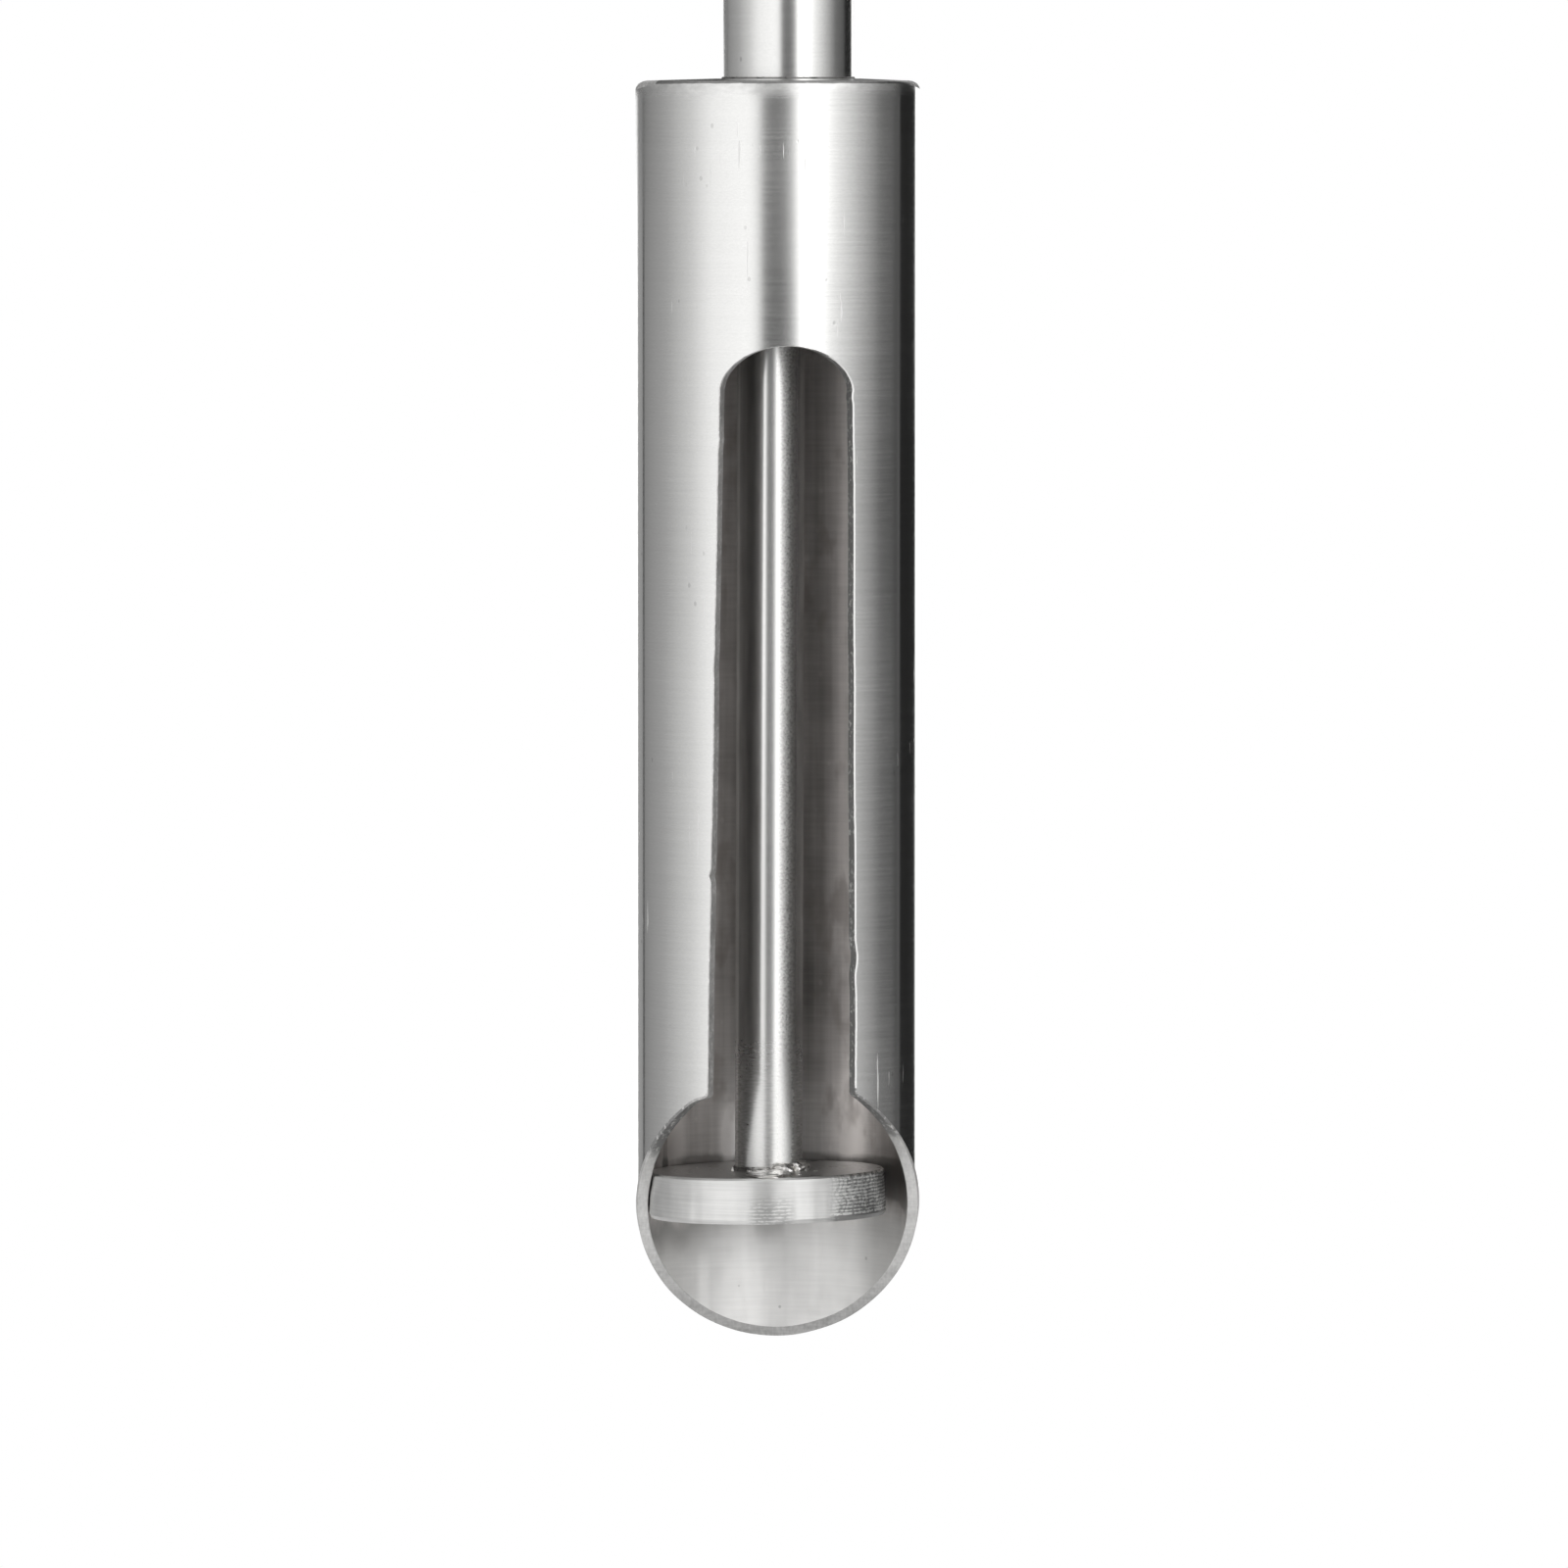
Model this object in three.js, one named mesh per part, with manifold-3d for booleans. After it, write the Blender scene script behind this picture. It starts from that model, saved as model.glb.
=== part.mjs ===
// Soil sampling probe: a stainless sample barrel with a side window and a slanted mouth, hung from a
// T-handled shaft tube, with a push rod and piston inside that eject the soil core.
// Millimetres, +Z up. The origin lies on the shaft's axis, level with the lowest point of the mouth.
// The window faces -Y and the handle lies along X.

import * as THREE from 'three';
import { mergeVertices } from 'three/addons/utils/BufferGeometryUtils.js';
import Module from 'manifold-3d';

// Clearances that the fits share
const seatGap = 0.3; // between pieces that are pressed, screwed or seated together
const weldGap = 0.2; // between a weld bead and the metal it lies on
const cutOverrun = 3; // how far a cutter runs past the surface it cuts
const mergeDistance = 0.0005;

// Sample barrel
const barrelRadius = 21;
const barrelWall = 1.8;
const barrelLength = 188; // from the tip of the mouth to the top of the shoulder cap
const barrelSideways = 1.6; // the barrel was welded on this far towards -X of the shaft
const mouthSlopeDegrees = 45;
const mouthBevelDepth = 0.45; // the ground cutting bevel at the tip, inwards from the outer skin
const mouthBevelRise = 1.6; // and upwards
const leastBevelShare = 0.12; // of that bevel, what is left of it at the front of the mouth

// Side window, sized across its chord on the outer skin
const windowTopHeight = 148.8; // above the tip
const windowArchRise = 6.9;
const windowWidthHigh = 19.3; // where the arch springs
const windowWidthLow = 21.6; // where the window runs out into the mouth
const windowShiftHigh = 0.7; // the hand-cut window leans this far towards +X
const windowShiftLow = 0.2;

// Shoulder cap, a plug in the top of the barrel that carries the shaft, and the corner weld round it
const capThickness = 6;
const capHoleChamfer = 1.3; // round the shaft, for the weld
const cornerWeldHeight = 1.5;
const cornerWeldRound = 1.1;
const cornerWeldOverlap = 0.5; // how far the weld reaches inwards over the edge of the cap

// Shaft tube
const shaftRadius = 9.6;
const shaftWall = 1.2;
const shaftStandOut = 3; // how far the shaft shows above the crossbar
const footBeadLeg = 1.1; // size of the weld between the shaft and the cap

// Crossbar of the T-handle
const crossbarRadius = 12.5;
const crossbarWall = 1.5;
const crossbarLength = 250;
const crossbarBareLength = 56; // left bare in the middle, between the grips
const crossbarHeight = 455; // of its axis, above the tip
const saddleBeadRadius = 1.9; // of the welds where the shaft passes through the crossbar

// Rubber grips
const gripRubber = 3.1; // thickness over the crossbar at the bottom of the grooves
const gripRibRise = 1.1;
const gripRibWidth = 5.8;
const gripGrooveWidth = 2.9;
const gripPlainEnd = 6; // left plain before the first rib and after the last
const gripGuardRise = 5; // the collar next to the shaft stands this far above the rubber
const gripGuardWidth = 4.5;
const gripEdgeRadius = 1.4;

// End caps
const endCapDome = 4.2;
const endCapLip = 1.6;
const endCapSpigot = 14;
const endCapWall = 2;

// Guide bush in the top of the shaft
const bushLength = 24; // inside the shaft
const bushFlange = 2.4;
const rodClearance = 0.2; // between the bush and the rod, where the rod lies nearest

// Ejector
const rodRadius = 5;
const pistonRadius = 17.4;
const pistonThickness = 6.8;
const pistonHeight = 19.8; // of its underside, above the tip, with the ejector pushed fully down
const pistonChamfer = 0.35;
const pistonSideways = 1.35; // the rod leans until the piston lies this far towards -X
const pistonTiltDegrees = 1.2; // the piston was welded on a little askew, lower towards -X
const pistonBeadLeg = 2.2;
const beadRipple = 0.22; // how far a weld's ripples stand out
const bumperRadius = 9;
const bumperThickness = 4;
const washerRadius = 10;
const washerThickness = 2;
const nutAcrossFlats = 17;
const nutThickness = 7;
const nutChamfer = 0.9;
const knobRadius = 20;
const knobHeight = 29;
const knobNeckRadius = 10.5;
const knobCrownRadius = 9; // of the flat on top, where the palm pushes
const insertRadius = 7.2;
const insertLength = 18;
const rodIntoKnob = 16;
const rodChamfer = 0.8;

// Roundness of the turned and bent surfaces
const barrelSegments = 64;
const tubeSegments = 32;
const beadSegments = 56;
const smallSegments = 24;
const cornerSteps = 3;
const archSteps = 14;
const beadSides = 8;
const rippleCount = 14;

const boreRadius = barrelRadius - barrelWall;
const shaftBoreRadius = shaftRadius - shaftWall;
const mouthSlope = Math.tan(THREE.MathUtils.degToRad(mouthSlopeDegrees));
const mouthTipRadius = barrelRadius - mouthBevelDepth;
const capUnderside = barrelLength - capThickness;
const barrelTop = barrelLength - cornerWeldHeight;
const shaftTop = crossbarHeight + crossbarRadius + shaftStandOut;
const pistonTop = pistonHeight + pistonThickness;
const gripLength = (crossbarLength - crossbarBareLength) / 2;

// Heights of what is stacked on the rod above the guide bush, with the ejector pushed fully down
const bumperLow = shaftTop + bushFlange + seatGap;
const washerLow = bumperLow + bumperThickness + seatGap;
const nutLow = washerLow + washerThickness + seatGap;
const knobLow = nutLow + nutThickness + seatGap;
const rodTop = knobLow + rodIntoKnob;

const steel = finish(0xc9cac9, 0.26, 1);
const turnedSteel = finish(0xc4c5c3, 0.34, 1);
const weldSteel = finish(0xa9a7a2, 0.45, 1);
const rubber = finish(0x1b1b1c, 0.78, 0);
const blackPlastic = finish(0x141416, 0.32, 0);
const nylon = finish(0xdedcd2, 0.5, 0);
const brass = finish(0xb8924a, 0.35, 1);

const wasm = await Module();
wasm.setup();

function finish(color, roughness, metalness) {
  return new THREE.MeshStandardMaterial({ color, roughness, metalness });
}

function named(name, geometry, material) {
  const mesh = new THREE.Mesh(geometry, material);
  mesh.name = name;
  return mesh;
}

// A three.js geometry as a solid that can be cut and joined.
function solidOf(geometry) {
  const bare = new THREE.BufferGeometry().setAttribute('position', geometry.getAttribute('position'));
  bare.setIndex(geometry.getIndex());
  const merged = mergeVertices(bare, mergeDistance);
  return new wasm.Manifold(
    new wasm.Mesh({
      numProp: 3,
      vertProperties: merged.getAttribute('position').array,
      triVerts: new Uint32Array(merged.getIndex().array),
    }),
  );
}

// The way back, from a solid to a geometry.
function geometryOf(solid) {
  const { vertProperties, triVerts } = solid.getMesh();
  const geometry = new THREE.BufferGeometry()
    .setAttribute('position', new THREE.BufferAttribute(vertProperties, 3))
    .setIndex(new THREE.BufferAttribute(triVerts, 1));
  geometry.computeVertexNormals();
  return geometry;
}

// Turns [radius, height] pairs about Z. A solid's outline starts and ends on the axis; a ring's is closed
// here. Either one runs anticlockwise, up its outer side.
function turned(outline, segments) {
  const closed = outline[0][0] > 0 ? [...outline, outline[0]] : outline;
  const points = closed.map(([radius, height]) => new THREE.Vector2(radius, height));
  return new THREE.LatheGeometry(points, segments).rotateX(Math.PI / 2);
}

// A closed ring of sections. sectionAt(turn) gives its points as [x, y, z], all sections alike in count.
function sweptRing(sectionAt, segments) {
  const count = sectionAt(0).length;
  const positions = [];
  const indices = [];
  for (let i = 0; i < segments; i++) {
    positions.push(...sectionAt((2 * Math.PI * i) / segments).flat());
    const here = i * count;
    const next = ((i + 1) % segments) * count;
    for (let j = 0; j < count; j++) {
      const k = (j + 1) % count;
      indices.push(here + j, next + j, next + k, here + j, next + k, here + k);
    }
  }
  const geometry = new THREE.BufferGeometry();
  geometry.setAttribute('position', new THREE.Float32BufferAttribute(positions, 3));
  geometry.setIndex(indices);
  geometry.computeVertexNormals();
  return geometry;
}

// A ring about Z whose outline of [radius, height] pairs, anticlockwise, changes with the turn from -Y
// towards +X.
function shapedRing(outlineAt, segments) {
  const sectionAt = (turn) =>
    outlineAt(turn).map(([radius, height]) => [radius * Math.sin(turn), -radius * Math.cos(turn), height]);
  return sweptRing(sectionAt, segments);
}

// A stretch of a circle, as [radius, height] pairs about a centre.
function corner(centreRadius, centreHeight, radius, fromDegrees, toDegrees) {
  return Array.from({ length: cornerSteps + 1 }, (_, i) => {
    const angle = THREE.MathUtils.degToRad(fromDegrees + ((toDegrees - fromDegrees) * i) / cornerSteps);
    return [centreRadius + radius * Math.cos(angle), centreHeight + radius * Math.sin(angle)];
  });
}

// A block whose sides all point at the Z axis. The outline holds [turn, height] pairs, anticlockwise as
// seen from outside.
function radialBlock(outline, innerRadius, outerRadius) {
  const at = (radius, [turn, height]) => [radius * Math.sin(turn), -radius * Math.cos(turn), height];
  const count = outline.length;
  const positions = [innerRadius, outerRadius].flatMap((radius) => outline.flatMap((p) => at(radius, p)));
  const contour = outline.map(([turn, height]) => new THREE.Vector2(turn * outerRadius, height));
  const faces = THREE.ShapeUtils.triangulateShape(contour, []);
  const indices = faces.flatMap(([a, b, c]) => [count + a, count + b, count + c, a, c, b]);
  for (let i = 0; i < count; i++) {
    const j = (i + 1) % count;
    indices.push(count + i, i, j, count + i, j, count + j);
  }
  const geometry = new THREE.BufferGeometry();
  geometry.setAttribute('position', new THREE.Float32BufferAttribute(positions, 3));
  geometry.setIndex(indices);
  return geometry;
}

// A plain rod along Z, used to cut or to be cut.
function rodSolid(radius, low, high, segments) {
  return solidOf(turned([[0, low], [radius, low], [radius, high], [0, high]], segments));
}

// Height of the slanted mouth where it meets the radius, at a turn from -Y.
function mouthHeight(radius, turn) {
  return mouthSlope * (mouthTipRadius + radius * Math.cos(turn));
}

// The front of the mouth is cut square to the skin. The back is ground flat, with a bevel outside.
function barrelOutline(turn) {
  const backShare = (1 - Math.cos(turn)) / 2;
  const bevelShare = leastBevelShare + (1 - leastBevelShare) * backShare;
  const edgeRadius = barrelRadius - mouthBevelDepth * bevelShare;
  const squareRadius = Math.cos(turn) > 0 ? edgeRadius : boreRadius;
  return [
    [boreRadius, mouthHeight(squareRadius, turn)],
    [edgeRadius, mouthHeight(edgeRadius, turn)],
    [barrelRadius, mouthHeight(edgeRadius, turn) + mouthBevelRise * bevelShare],
    [barrelRadius, barrelTop],
    [boreRadius, barrelTop],
  ];
}

// Turn at which a point of the outer skin stands at the given X.
function turnAt(x) {
  return Math.asin(x / barrelRadius);
}

function windowOutline() {
  const springHeight = windowTopHeight - windowArchRise;
  const footHeight = mouthHeight(boreRadius, turnAt(windowWidthLow / 2)) - cutOverrun;
  const outline = [
    [turnAt(windowShiftLow - windowWidthLow / 2), footHeight],
    [turnAt(windowShiftLow + windowWidthLow / 2), footHeight],
  ];
  for (let i = 0; i <= archSteps; i++) {
    const angle = (Math.PI * i) / archSteps;
    const x = windowShiftHigh + (windowWidthHigh / 2) * Math.cos(angle);
    outline.push([turnAt(x), springHeight + windowArchRise * Math.sin(angle)]);
  }
  return outline;
}

function sampleBarrel() {
  const tube = solidOf(shapedRing(barrelOutline, barrelSegments));
  const cutter = radialBlock(windowOutline(), boreRadius / 2, 2 * barrelRadius);
  return named('sample_barrel', geometryOf(tube.subtract(solidOf(cutter))), steel);
}

// The cap follows the barrel, and the hole in it follows the shaft.
function shoulderCap() {
  const plugRadius = boreRadius - seatGap;
  const neckRadius = plugRadius - cornerWeldOverlap;
  const hole = shaftRadius + seatGap;
  const holeLines = [
    [hole + capHoleChamfer, barrelLength],
    [hole, barrelLength - capHoleChamfer],
    [hole, capUnderside],
  ];
  const plugLines = [
    [plugRadius, capUnderside],
    [plugRadius, barrelTop],
    [neckRadius, barrelTop],
    [neckRadius, barrelLength],
  ];
  const sectionAt = (turn) => {
    const at = ([radius, height], middle) => [
      middle + radius * Math.sin(turn),
      -radius * Math.cos(turn),
      height,
    ];
    return [...holeLines.map((p) => at(p, barrelSideways)), ...plugLines.map((p) => at(p, 0))];
  };
  return named('shoulder_cap', sweptRing(sectionAt, barrelSegments), turnedSteel);
}

// The weld that joins the end of the barrel to the cap, ground to a round corner.
function shoulderWeld() {
  const inner = boreRadius - seatGap - cornerWeldOverlap + weldGap;
  const outline = [
    [inner, barrelTop + weldGap],
    [barrelRadius, barrelTop + weldGap],
    ...corner(barrelRadius - cornerWeldRound, barrelLength - cornerWeldRound, cornerWeldRound, 0, 90),
    [inner, barrelLength],
  ];
  return named('shoulder_weld', turned(outline, barrelSegments), weldSteel);
}

function shaftTube() {
  const outline = [
    [shaftBoreRadius, capUnderside],
    [shaftRadius, capUnderside],
    [shaftRadius, shaftTop],
    [shaftBoreRadius, shaftTop],
  ];
  return named('shaft_tube', turned(outline, tubeSegments), steel);
}

// A fillet weld round a rod that stands on a flat face, with the ripples of a hand weld.
function filletBead(name, rod, face, leg) {
  const radius = rod + weldGap;
  const height = face + weldGap;
  const belly = leg / 2 + beadRipple;
  const outlineAt = (turn) => {
    const reach = leg + beadRipple * Math.sin(rippleCount * turn);
    return [
      [radius, height],
      [radius + reach, height],
      [radius + belly, height + belly],
      [radius, height + reach],
    ];
  };
  return named(name, shapedRing(outlineAt, beadSegments), weldSteel);
}

function crossbar() {
  const half = crossbarLength / 2;
  const bore = crossbarRadius - crossbarWall;
  const outline = [
    [bore, -half],
    [crossbarRadius, -half],
    [crossbarRadius, half],
    [bore, half],
  ];
  const reach = crossbarRadius + cutOverrun;
  const hole = rodSolid(shaftRadius + seatGap, -reach, reach, tubeSegments);
  const tube = solidOf(turned(outline, tubeSegments).rotateY(Math.PI / 2));
  const mesh = named('crossbar', geometryOf(tube.subtract(hole)), steel);
  mesh.position.z = crossbarHeight;
  return mesh;
}

// The weld along the saddle where the shaft leaves the crossbar, above (side 1) or below (side -1).
function saddleWeld(name, side) {
  const sectionAt = (turn) => {
    const rise = Math.sqrt(crossbarRadius ** 2 - (shaftRadius * Math.sin(turn)) ** 2);
    const radius = saddleBeadRadius + beadRipple * Math.sin(rippleCount * turn);
    return Array.from({ length: beadSides }, (_, j) => {
      const angle = (2 * Math.PI * j) / beadSides;
      const reach = shaftRadius + radius * Math.cos(angle);
      return [reach * Math.cos(turn), reach * Math.sin(turn), side * rise + radius * Math.sin(angle)];
    });
  };
  const reach = crossbarRadius + cutOverrun;
  const shaft = rodSolid(shaftRadius + weldGap, -reach, reach, tubeSegments);
  const barOutline = [
    [0, -reach],
    [crossbarRadius + weldGap, -reach],
    [crossbarRadius + weldGap, reach],
    [0, reach],
  ];
  const bar = solidOf(turned(barOutline, tubeSegments).rotateY(Math.PI / 2));
  const bead = solidOf(sweptRing(sectionAt, beadSegments)).subtract(shaft).subtract(bar);
  const mesh = named(name, geometryOf(bead), weldSteel);
  mesh.position.z = crossbarHeight;
  return mesh;
}

// Side 1 is towards +X. A grip and its end cap are turned about X, outwards from the guard.
function grip(name, side) {
  const bore = crossbarRadius + seatGap;
  const low = crossbarRadius + gripRubber;
  const high = low + gripRibRise;
  const guard = low + gripGuardRise;
  const outline = [
    [bore, 0],
    ...corner(guard - gripEdgeRadius, gripEdgeRadius, gripEdgeRadius, -90, 0),
    ...corner(guard - gripEdgeRadius, gripGuardWidth - gripEdgeRadius, gripEdgeRadius, 0, 90),
    [low, gripGuardWidth],
  ];
  const pitch = gripRibWidth + gripGrooveWidth;
  const sleeve = gripLength - gripGuardWidth;
  const ribCount = Math.floor((sleeve - 2 * gripPlainEnd) / pitch);
  const lead = (sleeve - ribCount * pitch) / 2;
  for (let i = 0; i < ribCount; i++) {
    const start = gripGuardWidth + lead + i * pitch + gripGrooveWidth / 2;
    outline.push(
      [low, start],
      [high, start + gripRibRise / 2],
      [high, start + gripRibWidth - gripRibRise / 2],
      [low, start + gripRibWidth],
    );
  }
  outline.push(
    [low, gripLength - gripEdgeRadius],
    [low - gripEdgeRadius, gripLength],
    [bore, gripLength],
  );
  const mesh = named(name, turned(outline, smallSegments), rubber);
  mesh.rotation.y = (side * Math.PI) / 2;
  mesh.position.set((side * crossbarBareLength) / 2, 0, crossbarHeight);
  return mesh;
}

function endCap(name, side) {
  const rim = crossbarRadius + gripRubber;
  const spigot = crossbarRadius - crossbarWall - seatGap;
  const hollow = spigot - endCapWall;
  const steps = 2 * cornerSteps;
  const dome = Array.from({ length: steps }, (_, i) => {
    const angle = (Math.PI / 2) * (i / steps);
    return [rim * Math.cos(angle), seatGap + endCapLip + endCapDome * Math.sin(angle)];
  });
  const outline = [
    [0, seatGap],
    [hollow, seatGap],
    [hollow, -endCapSpigot],
    [spigot, -endCapSpigot],
    [spigot, seatGap],
    [rim, seatGap],
    ...dome,
    [0, seatGap + endCapLip + endCapDome],
  ];
  const mesh = named(name, turned(outline, smallSegments), blackPlastic);
  mesh.rotation.y = (side * Math.PI) / 2;
  mesh.position.set((side * crossbarLength) / 2, 0, crossbarHeight);
  return mesh;
}

// The hole in the bush is wide enough for the rod, which stands as far aside as the barrel.
function guideBush() {
  const bore = rodRadius + barrelSideways + rodClearance;
  const body = shaftBoreRadius - seatGap;
  const outline = [
    [bore, shaftTop - bushLength],
    [body, shaftTop - bushLength],
    [body, shaftTop + seatGap],
    [shaftRadius, shaftTop + seatGap],
    [shaftRadius, shaftTop + bushFlange],
    [bore, shaftTop + bushFlange],
  ];
  return named('guide_bush', turned(outline, tubeSegments), nylon);
}

function ejectorRod() {
  const outline = [
    [0, pistonTop + seatGap],
    [rodRadius, pistonTop + seatGap],
    [rodRadius, rodTop - rodChamfer],
    [rodRadius - rodChamfer, rodTop],
    [0, rodTop],
  ];
  return named('ejector_rod', turned(outline, tubeSegments), steel);
}

function piston() {
  const half = pistonThickness / 2;
  const outline = [
    [0, -half],
    [pistonRadius - pistonChamfer, -half],
    [pistonRadius, pistonChamfer - half],
    [pistonRadius, half - pistonChamfer],
    [pistonRadius - pistonChamfer, half],
    [0, half],
  ];
  return named('piston', turned(outline, barrelSegments), turnedSteel);
}

// The piston and its weld, tilted about the middle of the piston.
function tiltedPiston() {
  const half = pistonThickness / 2;
  const tilted = new THREE.Group();
  tilted.position.z = pistonHeight + half;
  tilted.rotation.y = -THREE.MathUtils.degToRad(pistonTiltDegrees);
  tilted.add(piston(), filletBead('piston_weld', rodRadius, half, pistonBeadLeg));
  return tilted;
}

// A flat ring on the rod.
function rodRing(name, outerRadius, low, thickness, material) {
  const bore = rodRadius + seatGap;
  const outline = [
    [bore, low],
    [outerRadius, low],
    [outerRadius, low + thickness],
    [bore, low + thickness],
  ];
  return named(name, turned(outline, smallSegments), material);
}

function lockNut() {
  const nutRadius = nutAcrossFlats / 2 / Math.cos(Math.PI / 6);
  const hexagon = new THREE.CylinderGeometry(nutRadius, nutRadius, nutThickness, 6);
  hexagon.rotateX(Math.PI / 2).translate(0, 0, nutLow + nutThickness / 2);
  const faceRadius = nutAcrossFlats / 2;
  const wide = nutRadius + nutChamfer;
  const chamfered = [
    [0, nutLow],
    [faceRadius, nutLow],
    [wide, nutLow + nutChamfer],
    [wide, nutLow + nutThickness - nutChamfer],
    [faceRadius, nutLow + nutThickness],
    [0, nutLow + nutThickness],
  ];
  const boreTop = nutLow + nutThickness + cutOverrun;
  const bore = rodSolid(rodRadius + seatGap, nutLow - cutOverrun, boreTop, smallSegments);
  const nut = solidOf(hexagon).intersect(solidOf(turned(chamfered, tubeSegments))).subtract(bore);
  return named('lock_nut', geometryOf(nut), turnedSteel);
}

// The brass insert is moulded into the knob, open below.
function knobInsert() {
  const bore = rodRadius + seatGap;
  const outline = [
    [bore, knobLow],
    [insertRadius, knobLow],
    [insertRadius, knobLow + insertLength],
    [bore, knobLow + insertLength],
  ];
  return named('knob_insert', turned(outline, smallSegments), brass);
}

// Mushroom knob: a neck that flares into a rim, with a domed crown and a small flat for the palm.
function palmKnob() {
  const socket = insertRadius + seatGap;
  const socketTop = knobLow + insertLength + seatGap;
  const rimHeight = knobLow + knobHeight / 2;
  const top = knobLow + knobHeight;
  const steps = 2 * cornerSteps;
  const flare = Array.from({ length: steps + 1 }, (_, i) => {
    const share = i / steps;
    const swell = share * share * (3 - 2 * share);
    return [knobNeckRadius + (knobRadius - knobNeckRadius) * swell, knobLow + (rimHeight - knobLow) * share];
  });
  const crown = Array.from({ length: steps }, (_, i) => {
    const angle = (Math.PI / 2) * ((i + 1) / steps);
    return [
      knobCrownRadius + (knobRadius - knobCrownRadius) * Math.cos(angle),
      rimHeight + (top - rimHeight) * Math.sin(angle),
    ];
  });
  const outline = [[0, socketTop], [socket, socketTop], [socket, knobLow], ...flare, ...crown, [0, top]];
  return named('palm_knob', turned(outline, tubeSegments), blackPlastic);
}

// The rod leans about the guide bush until the piston lies against one side of the barrel.
function ejector() {
  const pivotHeight = shaftTop - bushLength / 2;
  const leaning = new THREE.Group();
  leaning.position.z = pivotHeight;
  leaning.rotation.y = Math.atan(pistonSideways / (pivotHeight - pistonHeight - pistonThickness / 2));
  const parts = new THREE.Group();
  parts.position.z = -pivotHeight;
  parts.add(
    ejectorRod(),
    tiltedPiston(),
    rodRing('bumper', bumperRadius, bumperLow, bumperThickness, rubber),
    rodRing('washer', washerRadius, washerLow, washerThickness, turnedSteel),
    lockNut(),
    knobInsert(),
    palmKnob(),
  );
  leaning.add(parts);
  return leaning;
}

const barrelGroup = new THREE.Group();
barrelGroup.position.x = -barrelSideways;
barrelGroup.add(sampleBarrel(), shoulderCap(), shoulderWeld(), ejector());

const probe = new THREE.Group();
probe.add(
  barrelGroup,
  shaftTube(),
  filletBead('shaft_weld', shaftRadius, barrelLength, footBeadLeg),
  crossbar(),
  saddleWeld('upper_saddle_weld', 1),
  saddleWeld('lower_saddle_weld', -1),
  guideBush(),
  grip('left_grip', -1),
  grip('right_grip', 1),
  endCap('left_end_cap', -1),
  endCap('right_end_cap', 1),
);

export default probe;
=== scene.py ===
"""The finished look of a hand soil probe: fine surfaces in place of its plain solids, and their finishes.

Metres, +Z up, in the frame of the solids: the origin lies on the shaft's axis, level with the lowest point
of the mouth. The window faces -Y and the handle lies along X. A turn is measured from -Y towards +X.
"""

import math

import bmesh
import bpy
from bpy.props import FloatProperty, FloatVectorProperty, IntProperty, PointerProperty
from bpy.types import Operator, Panel, PropertyGroup
from mathutils import Matrix, Vector, kdtree, noise
from mathutils.geometry import delaunay_2d_cdt


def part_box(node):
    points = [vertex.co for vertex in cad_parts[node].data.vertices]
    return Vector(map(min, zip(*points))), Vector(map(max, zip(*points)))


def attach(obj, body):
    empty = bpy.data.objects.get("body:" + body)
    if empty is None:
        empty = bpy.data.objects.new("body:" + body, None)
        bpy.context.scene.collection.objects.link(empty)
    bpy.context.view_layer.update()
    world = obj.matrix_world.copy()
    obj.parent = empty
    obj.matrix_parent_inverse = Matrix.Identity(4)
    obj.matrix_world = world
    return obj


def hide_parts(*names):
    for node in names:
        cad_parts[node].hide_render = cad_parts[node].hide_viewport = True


bl_info = {
    "name": "Soil sampling probe",
    "version": (1, 0, 0),
    "blender": (4, 5, 0),
    "location": "3D View > Sidebar > Probe",
    "description": "Builds the finished surfaces and the studio of a hand soil probe",
    "category": "Add Mesh",
}

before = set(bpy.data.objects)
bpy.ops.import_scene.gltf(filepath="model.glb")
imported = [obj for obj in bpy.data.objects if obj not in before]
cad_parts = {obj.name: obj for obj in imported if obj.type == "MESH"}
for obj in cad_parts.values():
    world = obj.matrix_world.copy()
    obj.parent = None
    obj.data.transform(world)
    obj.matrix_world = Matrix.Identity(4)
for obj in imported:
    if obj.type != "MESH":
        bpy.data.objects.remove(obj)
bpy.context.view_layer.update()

FULL_TURN = 2 * math.pi
NOWHERE = 9.0  # farther out than any part of the probe
SAME_PLACE = 2e-6  # points closer than this are merged


# Sizes and colours


def size(name, description, default):
    return FloatProperty(name=name, description=description, default=default, unit="LENGTH", precision=5)


def angle(name, description, default):
    return FloatProperty(
        name=name, description=description, default=default, subtype="ANGLE", unit="ROTATION"
    )


def share(name, description, default):
    return FloatProperty(name=name, description=description, default=default, min=0, max=1, subtype="FACTOR")


def colour(name, description, default):
    return FloatVectorProperty(
        name=name, description=description, default=default, size=3, min=0, max=1, subtype="COLOR"
    )


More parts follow.
